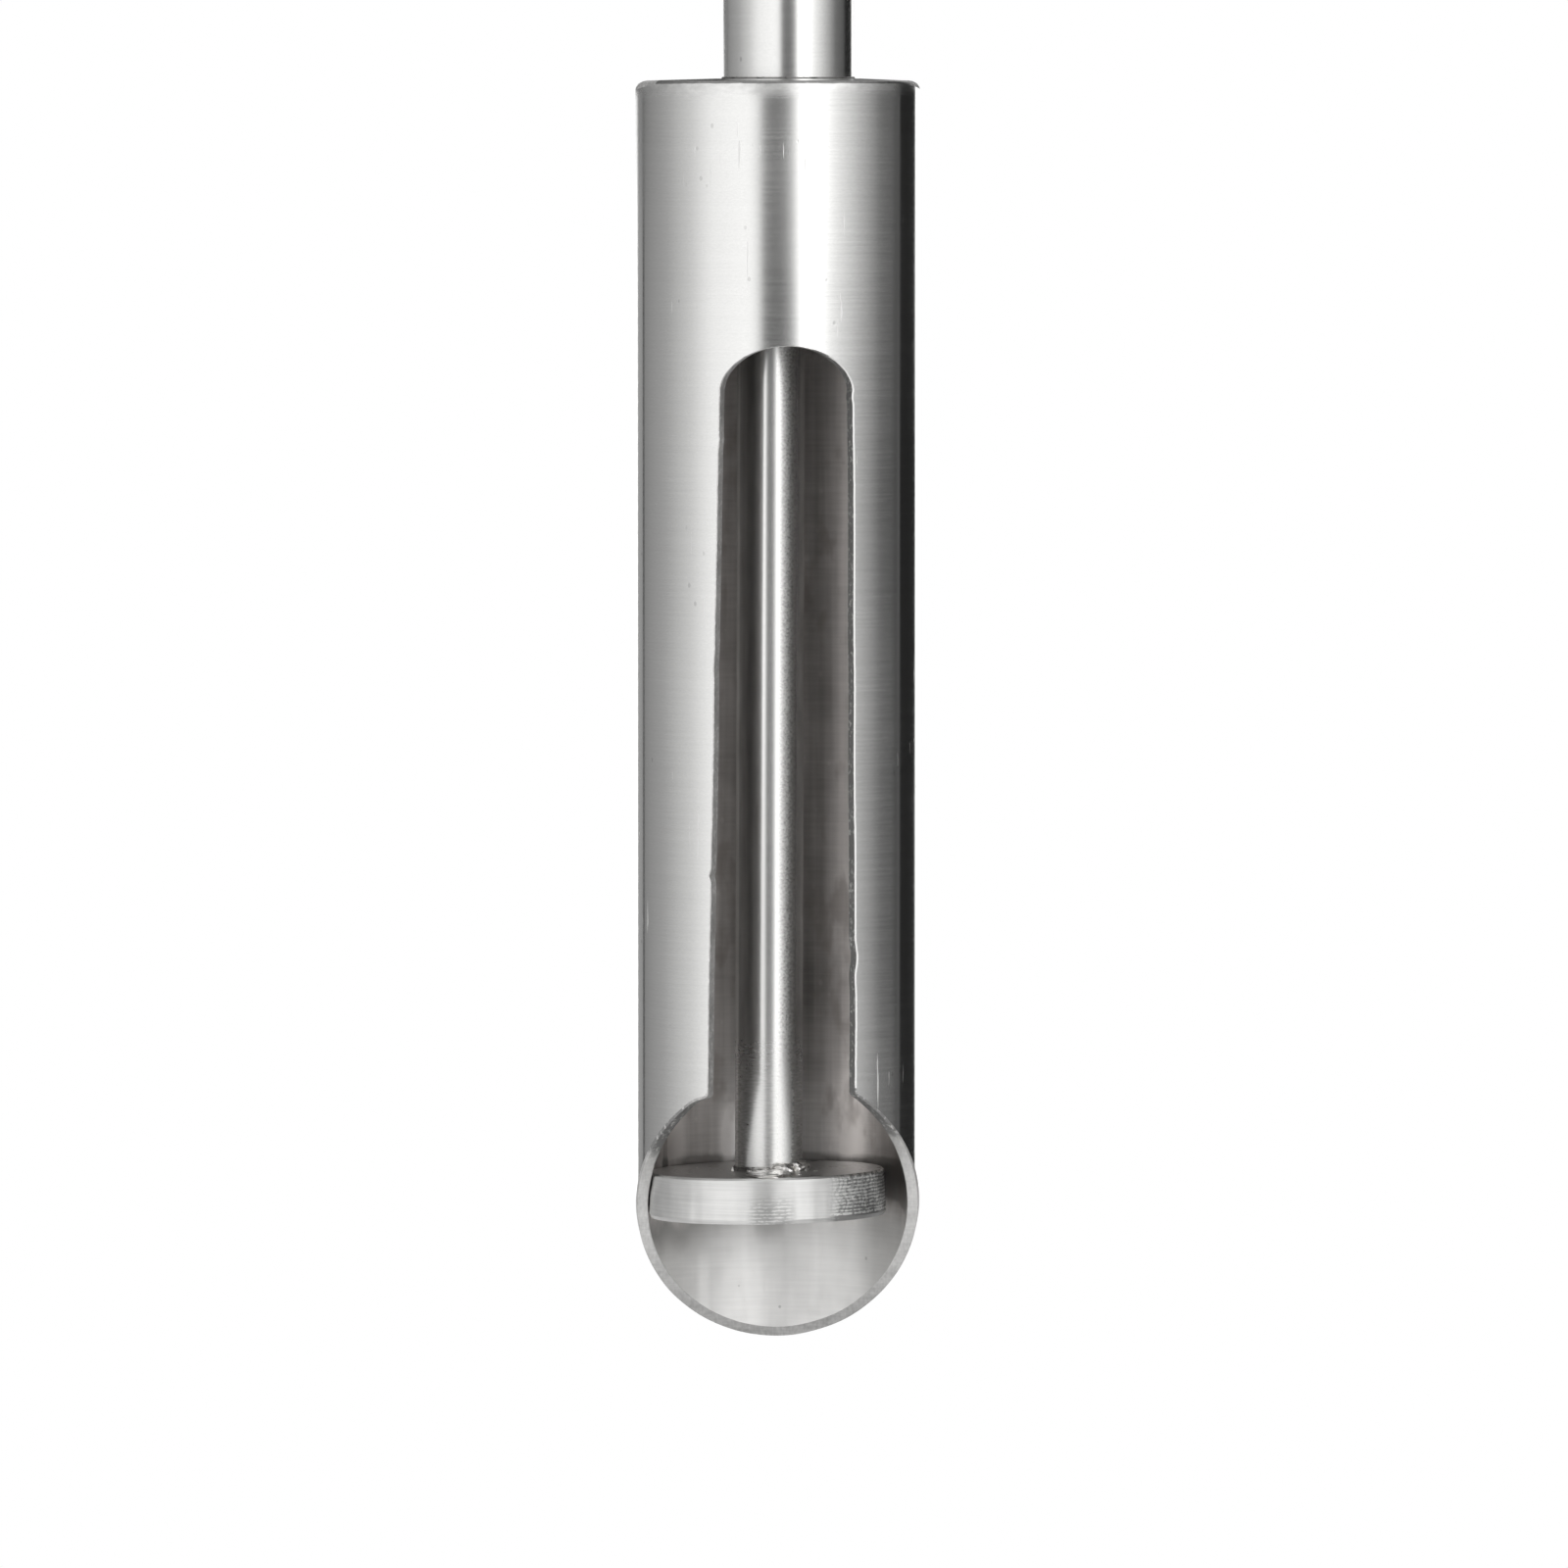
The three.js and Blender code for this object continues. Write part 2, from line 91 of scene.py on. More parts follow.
class BarrelSizes(PropertyGroup):
    """Sample barrel with its side window and slanted mouth"""

    radius: size("Radius", "Outer radius of the barrel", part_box("sample_barrel")[1].y)
    aside: size("Aside", "How far the barrel was welded on towards -X", 0.0016)
    wall: size("Wall", "Thickness of the barrel's wall", 0.0018)
    top: size("Top", "Height of the barrel's upper end, under the corner weld", 0.1859)
    mouth_slope: angle("Mouth slope", "Slope of the slanted mouth", math.radians(45.45))
    mouth_turn: angle("Mouth turn", "How far the mouth is turned towards -X", math.radians(0.6))
    lip: size("Lip", "How far the mouth's edge droops where the window's left side meets it", 0.0006)
    bevel_depth: size("Bevel depth", "Depth of the cutting bevel at the tip", 0.00045)
    bevel_rise: size("Bevel rise", "Height of the cutting bevel at the tip", 0.0016)
    least_bevel: share("Least bevel", "What is left of the bevel at the front", 0.12)
    window_top: size("Window top", "Height of the top of the arch", 0.1488)
    arch_rise: size("Arch rise", "Height of the arch", 0.0069)
    width_high: size("Width high", "Width of the window where the arch springs", 0.01965)
    width_low: size("Width low", "Width of the window at its foot", 0.02195)
    shift_high: size("Shift high", "How far the arch lies towards +X", 0.00082)
    shift_low: size("Shift low", "How far the foot lies towards +X", 0.00012)
    edge_round: size("Edge round", "Rounding of the cut edges", 0.00012)
    filed_round: size("Filed round", "Rounding where the right edge was filed over", 0.0002)
    wander: size("Wander", "How far the hand-cut edges wander", 0.00009)


class ShoulderSizes(PropertyGroup):
    """Shoulder cap, shaft and their welds"""

    cap_radius: size("Cap radius", "Radius of the cap inside the barrel", 0.0189)
    cap_low: size("Cap low", "Height of the cap's underside", 0.182)
    shoulder: size("Shoulder", "Height of the shoulder's top face", 0.188)
    droop: size("Droop", "How far the rim of the shoulder lies below its middle", 0.00028)
    shaft_radius: size("Shaft radius", "Outer radius of the shaft", 0.0096)
    shaft_wall: size("Shaft wall", "Thickness of the shaft's wall", 0.0012)
    shaft_top: size("Shaft top", "Height of the upper end of the shaft", 0.4705)
    foot_bead: size("Foot bead", "Radius of the weld bead at the foot of the shaft", 0.00022)


class HandleSizes(PropertyGroup):
    """Crossbar, grips and end caps"""

    height: size("Height", "Height of the crossbar's axis", 0.455)
    radius: size("Radius", "Outer radius of the crossbar", 0.0125)
    wall: size("Wall", "Thickness of the crossbar's wall", 0.0015)
    length: size("Length", "Length of the crossbar", 0.25)
    saddle_bead: size("Saddle bead", "Radius of the weld beads at the shaft", 0.0016)
    grip_start: size("Grip start", "Distance of the grips from the middle", 0.028)
    grip_length: size("Grip length", "Length of a grip", 0.097)
    rubber: size("Rubber", "Thickness of the rubber in the grooves", 0.0031)
    rib_rise: size("Rib rise", "Height of the ribs", 0.0011)
    rib_width: size("Rib width", "Width of a rib", 0.0058)
    rib_pitch: size("Rib pitch", "Distance from rib to rib", 0.0087)
    rib_count: IntProperty(name="Ribs", description="Ribs on each grip", default=9)
    guard_rise: size("Guard rise", "Height of the collar next to the shaft", 0.005)
    guard_width: size("Guard width", "Width of the collar next to the shaft", 0.0045)
    cap_dome: size("Cap dome", "Height of the end cap's dome", 0.0042)
    cap_lip: size("Cap lip", "Straight part of the end cap's rim", 0.0016)


class EjectorSizes(PropertyGroup):
    """Push rod with its piston, and the knob on top"""

    aside: size("Aside", "How far the rod stands towards -X of the shaft", 0.0016)
    pivot: size("Pivot", "Height about which the rod leans", 0.4585)
    lean: angle("Lean", "How far the rod leans towards -X at its foot", 0.0031013)
    tilt: angle("Tilt", "How far the piston sits askew on the rod", math.radians(1.2))
    rod_radius: size("Rod radius", "Radius of the push rod", 0.005)
    rod_low: size("Rod low", "Height of the rod's lower end", 0.0269)
    rod_high: size("Rod high", "Height of the rod's upper end", 0.5031)
    piston_radius: size("Piston radius", "Radius of the piston", 0.0174)
    piston_aside: size("Piston aside", "How far the piston sits off the rod's axis, towards -X", 0.00019)
    piston_low: size("Piston low", "Height of the piston's underside", 0.0198)
    piston_thickness: size("Piston thickness", "Thickness of the piston", 0.0068)
    weld_bead: size("Weld bead", "Radius of the weld bead on the piston", 0.0008)
    bumper_low: size("Bumper low", "Height of the bumper's underside", 0.4732)
    bumper_radius: size("Bumper radius", "Outer radius of the bumper", 0.009)
    bumper_thickness: size("Bumper thickness", "Thickness of the bumper", 0.004)
    washer_low: size("Washer low", "Height of the washer's underside", 0.4775)
    washer_radius: size("Washer radius", "Outer radius of the washer", 0.01)
    washer_thickness: size("Washer thickness", "Thickness of the washer", 0.002)
    nut_low: size("Nut low", "Height of the lock nut's underside", 0.4798)
    nut_flats: size("Nut flats", "Width of the lock nut across its flats", 0.017)
    nut_thickness: size("Nut thickness", "Thickness of the lock nut", 0.007)
    insert_radius: size("Insert radius", "Outer radius of the threaded insert", 0.0072)
    insert_height: size("Insert height", "Height of the threaded insert", 0.018)
    knob_low: size("Knob low", "Height of the knob's underside", 0.4871)
    knob_radius: size("Knob radius", "Largest radius of the knob", 0.02)
    knob_height: size("Knob height", "Height of the knob", 0.029)
    knob_neck: size("Knob neck", "Radius of the knob's neck", 0.0105)
    knob_crown: size("Knob crown", "Radius of the flat on top of the knob", 0.009)


class ProbeColours(PropertyGroup):
    """Colours of the finishes"""

    steel: colour("Steel", "Polished stainless steel", (0.722, 0.72, 0.709))
    bore: colour("Bore", "Stainless steel inside the barrel", (0.605, 0.587, 0.576))
    ground: colour("Ground", "Ground edges of the window and the mouth", (0.66, 0.655, 0.645))
    weld: colour("Weld", "Weld metal", (0.60, 0.59, 0.575))
    zinc: colour("Zinc", "Zinc-plated washer and nut", (0.58, 0.60, 0.63))
    brass: colour("Brass", "Threaded insert", (0.72, 0.50, 0.22))
    rubber: colour("Rubber", "Grips and bumper", (0.022, 0.022, 0.023))
    plastic: colour("Plastic", "End caps and knob", (0.016, 0.016, 0.018))
    nylon: colour("Nylon", "Guide bush", (0.72, 0.70, 0.63))


class StudioSettings(PropertyGroup):
    """Camera and light"""

    distance: size("Distance", "Distance of the camera from the barrel's axis", 2.0637)
    height: size("Height", "Height of the camera", 0.188)
    turned: angle("Turned", "How far the camera stands towards -X", math.radians(1.45))
    pitch: angle("Pitch", "How far the camera looks down", math.radians(2.892))
    aside: size("Aside", "How far the camera stands to the right of the origin", -0.00066)
    lens: FloatProperty(name="Lens", description="Focal length of the camera", default=320.6, unit="CAMERA")
    floor: size("Floor", "Height of the floor", -0.3)
    floor_reach: size("Floor reach", "Half the width of the floor", 6.0)
    wall_radius: size("Wall radius", "Distance of the studio's walls", 3.0)
    wall_height: size("Wall height", "Height of the studio's walls", 3.4)
    lamp_size: size("Lamp size", "Width and height of the soft lamp", 1.6)
    lamp_power: FloatProperty(name="Lamp power", description="Power of the lamp", default=22, unit="POWER")


# Node trees


class Number:
    """A number from a node tree. Reckoning with it adds Math nodes."""

    def __init__(self, graph, socket):
        self.graph = graph
        self.socket = socket

    def reckon(self, operation, *values):
        return self.graph.add("ShaderNodeMath", {"operation": operation}, dict(enumerate(values)))

    def __add__(self, other):
        return self.reckon("ADD", self, other)

    def __radd__(self, other):
        return self.reckon("ADD", other, self)

    def __sub__(self, other):
        return self.reckon("SUBTRACT", self, other)

    def __rsub__(self, other):
        return self.reckon("SUBTRACT", other, self)

    def __mul__(self, other):
        return self.reckon("MULTIPLY", self, other)

    def __rmul__(self, other):
        return self.reckon("MULTIPLY", other, self)

    def __truediv__(self, other):
        return self.reckon("DIVIDE", self, other)

    def __rtruediv__(self, other):
        return self.reckon("DIVIDE", other, self)

    def __pow__(self, other):
        return self.reckon("POWER", self, other)

    def larger(self, other):
        return self.reckon("MAXIMUM", self, other)

    def size(self):
        return self.reckon("ABSOLUTE", self)


class Graph:
    """A node tree that is written down node by node."""

    def __init__(self, tree):
        self.tree = tree

    def add(self, kind, settings=None, inputs=None, output=0):
        """Adds a node: its settings first, then the value, the link or the list of links of each input.

        Returns one output, or the node where it has none.
        """
        node = self.tree.nodes.new(kind)
        for name, value in (settings or {}).items():
            if name == "stops":
                self.set_stops(node.color_ramp.elements, value)
            else:
                setattr(node, name, value)
        for key, value in (inputs or {}).items():
            for part in value if isinstance(value, list) else [value]:
                if isinstance(part, Number):
                    self.tree.links.new(part.socket, node.inputs[key])
                else:
                    node.inputs[key].default_value = part
        return Number(self, node.outputs[output]) if node.outputs else node

    @staticmethod
    def set_stops(elements, stops):
        while len(elements) < len(stops):
            elements.new(1)
        for element, (position, value) in zip(elements, stops):
            element.position = position
            element.color = (*value, 1) if hasattr(value, "__len__") else (value, value, value, 1)

    def place(self):
        return self.add("ShaderNodeTexCoord", output="Object")

    def axes(self, vector):
        split = self.add("ShaderNodeSeparateXYZ", inputs={0: vector})
        return [Number(self, socket) for socket in split.socket.node.outputs]

    def moved(self, place, location, stretch):
        return self.add("ShaderNodeMapping", inputs={"Vector": place, "Location": location, "Scale": stretch})

    def grain(self, place, stretch, detail=2.0, seed=0.0):
        """Noise about 0.5, with so many waves a metre along each axis."""
        moved = self.moved(place, (seed, 2 * seed, 3 * seed), stretch)
        return self.add("ShaderNodeTexNoise", inputs={"Vector": moved, "Scale": 1.0, "Detail": detail})

    def specks(self, place, stretch, seed=0.0):
        """Distance from scattered points, in their own spacing."""
        moved = self.moved(place, (seed, seed, seed), stretch)
        return self.add("ShaderNodeTexVoronoi", inputs={"Vector": moved, "Scale": 1.0})

    def step(self, value, start, end):
        """Eases from 0 to 1 while the value goes from start to end, up or down."""
        return self.add(
            "ShaderNodeMapRange", {"interpolation_type": "SMOOTHSTEP"}, {"Value": value, 1: start, 2: end}
        )

    def band(self, value, rise, fall):
        """1 between two slopes, each given from where it is 0 to where it is 1."""
        return self.step(value, *rise) * self.step(value, *fall)

    def near(self, value, middle, reach, core):
        """1 within the core about a middle, down to 0 at the reach."""
        return self.step((value - middle).size(), reach, core)

    def wave(self, value, period):
        return self.add("ShaderNodeMath", {"operation": "SINE"}, {0: value * (FULL_TURN / period)})

    def turn(self, across, along):
        """Angle about Z, measured from -Y towards +X."""
        return self.add("ShaderNodeMath", {"operation": "ARCTAN2"}, {0: across, 1: 0 - along})

    def blend(self, factor, first, second):
        return self.add("ShaderNodeMix", {"data_type": "RGBA"}, {0: factor, 6: first, 7: second}, output=2)

    def relief(self, height, depth):
        return self.add("ShaderNodeBump", inputs={"Strength": 1.0, "Distance": depth, "Height": height})


def blank_graph(owner):
    """The emptied node tree of a new material or world."""
    owner.use_nodes = True
    owner.node_tree.nodes.clear()
    return Graph(owner.node_tree)


# Finishes

METAL = {"Metallic": 1.0}
BROAD_ROUGHNESS = 0.46


def shade(tone, factor):
    return (tone[0] * factor, tone[1] * factor, tone[2] * factor, 1)


def finish(name, write, constants=None):
    """A material whose surface is written by a function that gives the varying inputs of its shader.

    Where that function gives a spread, so much of the gloss is drawn out wide.
    """
    material = bpy.data.materials.new(name)
    graph = blank_graph(material)
    inputs = {**(constants or {}), **write(graph, graph.place())}
    spread = inputs.pop("Spread", None)
    shader = graph.add("ShaderNodeBsdfPrincipled", inputs=inputs)
    if spread is not None:
        broad = graph.add("ShaderNodeBsdfPrincipled", inputs={**inputs, "Roughness": BROAD_ROUGHNESS})
        shader = graph.add("ShaderNodeMixShader", inputs={0: spread, 1: shader, 2: broad})
    graph.add("ShaderNodeOutputMaterial", inputs={"Surface": shader})
    return material


def polished_steel(
    name,
    tone,
    roughness,
    around=(90, 90, 3600),
    clouds=(38, 38, 26),
    rubbed_from=NOWHERE,
    flanks=(NOWHERE, 0.0),
):
    """Steel polished in fine lines, with faint clouds, a few pits and light scratches.

    The barrel is also worn by rubbing above one height, glossier on its flanks, given as their reach and
    their middle, and painted with shade at the left of its top.
    """

    def write(graph, place):
        across, _, height = graph.axes(place)
        lines = graph.grain(place, around, 3.0)
        bands = graph.grain(place, tuple(0.16 * wave for wave in around), 2.0, 3.1)
        cloud = graph.grain(place, clouds, 3.0, 1.7)
        grit = graph.grain(place, (2200, 2200, 5200), 2.0, 9.6)
        nicks = graph.grain(place, (700, 700, 1500), 3.0, 6.4)
        rare = graph.step(graph.grain(place, (70, 70, 55), 1.0, 5.3), 0.56, 0.64)
        pits = graph.step(graph.specks(place, (420, 420, 300), 0.4), 0.14, 0.08) * rare
        scratch = graph.step(graph.grain(place, (1500, 1500, 90), 2.0, 8.2), 0.68, 0.73) * rare

        # Wear on the barrel, and painted shade at the left of its top: none of it comes near the other tubes
        ragged = height + (cloud - 0.5) * 0.006
        rubbed_and_highlit = graph.step(ragged, rubbed_from, rubbed_from + 0.0025) * graph.step(across, 0.0187, 0.0180)
        flank = graph.step((across - flanks[1]).size(), flanks[0], flanks[0] + 0.0015)
        glossy = flank * graph.step(height - across * 2.0, 0.225, 0.200)
        # Painted shade on the left of the barrel's top
        upper_left = graph.step(across, -0.0165, -0.0225) * graph.step(height, 0.16, 0.184)
        upper_left_shade = upper_left * graph.step(height, 0.195, 0.19)

        polish = (lines - 0.5) * 0.18 + (bands - 0.5) * 0.12 + (cloud - 0.5) * 0.26
        lit = polish + (grit - 0.5) * 0.3 + scratch * 0.3 + 0.5
        haze = (cloud - 0.5) * 0.14 + (lines - 0.5) * 0.10 + scratch * 0.4
        marks = lines + bands * 0.8 + scratch * 0.6 - pits * 3.0 + nicks * rubbed_and_highlit * 1.5
        return {
            "Base Color": graph.blend(
                lit - pits * 0.5 + (nicks - 0.5) * rubbed_and_highlit * 1.5 - upper_left_shade * 0.45,
                shade(tone, 0.82),
                shade(tone, 1.18),
            ),
            "Roughness": haze + rubbed_and_highlit * 0.14 - glossy * 0.1 + roughness,
            "Normal": graph.relief(marks, 2.2e-6),
        }

    return finish(name, write, METAL)


def rod_steel(name, tone, ejector):
    """The push rod: polished across in faint lines, scuffs along its right, painted shade along its left."""

    def write(graph, place):
        across, _, height = graph.axes(place)
        aside = (across + ejector.aside + (ejector.pivot - height) * ejector.lean) / ejector.rod_radius
        lines = graph.grain(place, (900, 900, 4200), 3.0)
        fuzz = graph.grain(place, (2600, 2600, 3400), 3.0, 3.3)
        cloud = graph.grain(place, (160, 160, 50), 3.0, 1.4)

        # Strips along the rod, by how many of its radii they lie to the right of its middle
        # Scuffs at the right, whose lighter base colour is a painted highlight
        scuffed_and_highlit = graph.step(aside + (cloud - 0.5) * 0.1, 0.16, 0.36) * graph.step(aside, 0.84, 0.44)
        # Painted shade along the left
        dark = graph.step(aside, -0.32, -0.58)
        # A painted highlight along the left edge
        limb_highlight = graph.step(aside, -0.90, -0.94)
        # A painted highlight left of the middle, above the foot
        rubbed_and_highlit = graph.band(aside, (-0.38, -0.30), (-0.12, -0.22)) * graph.step(height, 0.05, 0.12)
        low = graph.step(height, 0.050, 0.036)

        polish = (lines - 0.5) * 0.12 + (cloud - 0.5) * 0.15
        lit = polish + (fuzz + 0.1) * scuffed_and_highlit * 0.9 - dark * 0.34 + limb_highlight * 0.9 + 0.36
        drawn = scuffed_and_highlit * (fuzz * 1.2 + 0.1) + (lines - 0.5) * (low * 0.3 + 0.12)
        return {
            "Base Color": graph.blend(lit + rubbed_and_highlit * 0.5, shade(tone, 0.74), shade(tone, 1.38)),
            "Roughness": (lines - 0.5) * 0.05 + (cloud - 0.5) * 0.05 + scuffed_and_highlit * 0.05 + low * 0.06 + 0.2,
            "Normal": graph.relief(lines + cloud * 2.0 + fuzz * scuffed_and_highlit * 2.0, 1.5e-6),
            "Spread": drawn + low * 0.16 + 0.2,
        }

    return finish(name, write, METAL)


def bore_steel(name, tone, clean_tone):
    """The inside of the barrel: dull, brown and streaked, wiped bright at the mouth up to a painted shade."""
    stain_colour = shade((0.47, 0.42, 0.39), 0.68)
    # The colour of the painted shade under the piston
    shade_colour = shade((0.38, 0.37, 0.36), 0.6)

    def write(graph, place):
        across, along, height = graph.axes(place)
        streaks = graph.grain(place, (760, 760, 24), 3.0)
        broad = graph.grain(place, (170, 170, 11), 2.0, 2.2)
        cloud = graph.grain(place, (110, 110, 85), 3.0, 4.1)
        rubs = graph.grain(place, (120, 120, 2300), 3.0, 5.7)
        stains = graph.step(graph.grain(place, (260, 260, 130), 3.0, 7.4), 0.50, 0.68)
        drops = graph.step(graph.specks(place, (330, 330, 260), 1.3), 0.16, 0.07)
        dots = graph.step(graph.specks(place, (210, 210, 190), 8.6), 0.06, 0.035)
        level = height + (cloud - 0.5) * 0.009

        # The wall's wear, with dirt and a painted contact shade over the piston's edge, a painted shade
        # above it at the right, and painted light that falls on the back to its right and left
        low = graph.step(height, 0.046, 0.030)
        # Dirt and a painted contact shade in a band just above the piston's edge
        grime_and_contact_shade = graph.step(height, 0.0281, 0.0268) * graph.step(level, 0.0206, 0.0226)
        shady = graph.band(height, (0.064, 0.054), (0.037, 0.042)) * graph.step(across, 0.0, 0.003)
        right = graph.band(across, (0.0050, 0.0096), (0.0140, 0.0105))
        left = graph.near(across, -0.0084, 0.0022, 0.0004) * graph.step(height, 0.0385, 0.0300)
        side = graph.step(across, -0.0142, -0.0172) - graph.near(across, -0.0181, 0.0006, 0.0002) * 0.9
        back = graph.step(along, 0.0, 0.004)
        # Painted light on the back wall, at the right, the left and the left side
        glow = back * (right * (low * 0.32 + 0.45) + left * 0.8 + side * low * 1.25)
        wear = (streaks - 0.5) * 0.75 + (broad - 0.5) * 0.9 + (cloud - 0.5) * 0.7
        lit = wear + drops * 0.12 + (rubs - 0.5) * 0.3 + glow - grime_and_contact_shade * 0.8 - shady * 0.2 + 0.46
        wall_look = graph.blend(lit, shade(tone, 0.55), shade(tone, 1.42))
        brown = graph.blend(stains * 0.4, wall_look, stain_colour)

        # The wiped wall at the mouth: one bright streak, and painted shade at its right, under the piston
        # and below the rod
        wiped = graph.step(level, 0.0205, 0.0165)
        streak = graph.near(across, -0.0123, 0.0014, 0.0002) * graph.step(height, 0.015, 0.009)
        # Painted shade under the piston, stronger at the left
        shade_under_piston = graph.step(level, 0.0110, 0.0178) * (0.3 - across * 20.0)
        # Painted shade under the middle of the piston, below the rod
        shade_below_rod = graph.near(across, -0.0025, 0.0038, 0.0014) * graph.step(level, 0.0120, 0.0170)
        wipes = streak * 0.3 + (streaks - 0.5) * 0.2 + (cloud - 0.5) * 0.9 + (rubs - 0.5) * 0.25
        # Painted shade at the right of the wiped wall
        soft = wipes - dots * 0.6 + 0.54 - graph.step(across, 0.0095, 0.0140) * 0.35
        clean = graph.blend(soft, shade(clean_tone, 0.76), shade(clean_tone, 1.42))
        shaded = graph.blend(shade_under_piston.larger(shade_below_rod * 0.6), clean, shade_colour)

        haze = (cloud - 0.5) * 0.2 + (streaks - 0.5) * 0.2
        return {
            "Base Color": graph.blend(wiped, brown, shaded),
            "Roughness": haze + stains * 0.06 + wiped * 0.17 + 0.35,
            "Normal": graph.relief(streaks + cloud * 1.8 + rubs * 0.5 + drops * 0.8, 1.1e-5),
        }

    return finish(name, write, METAL)


def ground_steel(name, tone, roughness):
    """Steel ground by hand: matt, with crossing marks and dark flecks."""

    def write(graph, place):
        marks = graph.grain(place, (2600, 900, 700), 3.0)
        cross = graph.grain(place, (500, 2400, 2400), 2.0, 6.0)
        cloud = graph.grain(place, (260, 260, 260), 3.0, 2.5)
        flecks = graph.step(graph.grain(place, (900, 900, 900), 2.0, 9.0), 0.64, 0.72)
        lit = (marks - 0.5) * 0.6 + (cross - 0.5) * 0.4 + (cloud - 0.5) * 0.7 - flecks * 0.35 + 0.5
        return {
            "Base Color": graph.blend(lit, shade(tone, 0.66), shade(tone, 1.25)),
            "Roughness": (cloud - 0.5) * 0.3 + roughness,
            "Normal": graph.relief(marks + cross + cloud * 2.0, 1.2e-5),
        }

    return finish(name, write, METAL)


def cut_steel(name, tone):
    """The barrel's cut edges: filed light and matt round the mouth, sawn dark with bright flecks above."""

    def write(graph, place):
        across, _, height = graph.axes(place)
        marks = graph.grain(place, (2600, 900, 700), 3.0)
        cross = graph.grain(place, (500, 2400, 2400), 2.0, 6.0)
        cloud = graph.grain(place, (260, 260, 260), 3.0, 2.5)
        flecks = graph.step(graph.grain(place, (1900, 1900, 1500), 2.0, 9.0), 0.50, 0.72)
        low = graph.step(height, 0.002, 0.018)
        sawn = graph.step(height - across * 0.074 + (cloud - 0.5) * 0.006, 0.0303, 0.0323)
        left = graph.step(across, 0.004, -0.004) * graph.step(height, 0.036, 0.039)
        lit = (marks - 0.5) * 0.6 + (cross - 0.5) * 0.4 + (cloud - 0.5) * 0.7 + 0.5
        light = graph.blend(lit + (low - 0.5) * 0.5, shade(tone, 0.50), shade(tone, 1.2))
        fine = flecks * (0.6 - left * 0.35) + (lit - 0.5) * 0.6 + left * 0.5 - 0.08
        dark = graph.blend(fine, shade(tone, 0.46), shade(tone, 1.45))
        return {
            "Base Color": graph.blend(sawn, light, dark),
            "Roughness": (cloud - 0.5) * 0.3 + sawn * 0.1 + 0.5,
            "Normal": graph.relief(marks + cross + cloud * 2.0 + flecks * sawn * 0.8, 1.4e-5),
        }

    return finish(name, write, METAL)


def turned_steel(name, tone, middle, radius, tilt=0.0):
    """A turned disc: fine rings round its rim, arcs on its faces, chatter marks on one side."""
    half_thickness = 0.0034
    tick_period, row_period = 0.00115, 0.00051

    def write(graph, place):
        across, away_y, height = graph.axes(place)
        away_x = across - middle[0]
        level = height - middle[2] - away_x * tilt
        reach = (away_x * away_x + away_y * away_y) ** 0.5
        rings = graph.grain(place, (60, 60, 5200), 2.0)
        arcs = graph.add(
            "ShaderNodeTexNoise", {"noise_dimensions": "1D"}, {"W": reach * 1900.0, "Scale": 1.0}
        )
        cloud = graph.grain(place, (210, 210, 210), 3.0, 3.3)

        # Chatter marks at the right of the rim: uneven rows with ticks across, a bright line near the foot
        # as a painted highlight, painted highlights along the top and painted shade on the underside's edge
        along_rim = graph.turn(away_x, away_y) * radius
        rolled = graph.add("ShaderNodeCombineXYZ", inputs={0: along_rim, 2: level})
        uneven = (graph.grain(rolled, (1300, 1, 1700), 2.0, 7.0) - 0.5) * 6.0
        blotch = graph.grain(rolled, (420, 1, 500), 2.0, 4.4) - 0.5
        ticks = graph.step(graph.wave(along_rim + blotch * 0.0035, tick_period) + uneven * 0.4, 0.1, 0.9)
        rows = graph.step(graph.wave(level + blotch * 0.0004, row_period) + uneven, -0.1, 0.9)
        dashes = graph.step(uneven + blotch * 2.0, -0.5, 0.4)
        # Painted highlights: a bright line near the foot and flecks along the top
        hem_highlight = graph.near(level, -0.0024, 0.00024, 0.00012) * dashes
        crest_highlight = graph.step(level, 0.0027, 0.0030) * graph.step(uneven, 0.1, 0.6)
        smear = graph.step(level + blotch * 0.002, -0.0011, -0.0015) * (1 - hem_highlight)
        # Painted shade on the underside's turned-down edge
        under = graph.step(level, 0.0009 - half_thickness, 0.0007 - half_thickness)
        weave = (rows - ticks * 0.45) * (1 - hem_highlight) + hem_highlight * 1.3 + crest_highlight
        hatch = weave + blotch * 0.8 - smear * 0.25 - under * 1.3 - 0.3
        chattered = graph.step(away_x, 0.45 * radius, 0.70 * radius)

        # A faintly lined patch in the middle of the rim, and a darker strip beside it
        patch = graph.near(away_x, 0.0, 0.24 * radius, 0.10 * radius) * graph.step(level, 0.002, -0.002)
        darker_strip = graph.band(away_x, (0.0, 0.2 * radius), (0.6 * radius, 0.4 * radius))

        rim = graph.step(reach, 0.955 * radius, 0.985 * radius)
        face = (arcs - 0.5) * 0.4 + (cloud - 0.5) * 0.4 + 0.26
        edge = (rings - 0.5) * 0.4 + (cloud - 0.5) * 0.36 + chattered * hatch
        edge = edge - patch * (1 - rows) * 0.4 - darker_strip * 0.2 + 0.6
        marks = rings * rim + arcs * (1 - rim) + (rows - ticks) * chattered + cloud * 0.6
        return {
            "Base Color": graph.blend(rim * edge + (1 - rim) * face, shade(tone, 0.45), shade(tone, 1.3)),
            "Roughness": (cloud - 0.5) * 0.16 + rim * 0.08 + 0.3,
            "Normal": graph.relief(marks, 7e-6),
        }

    return finish(name, write, METAL)


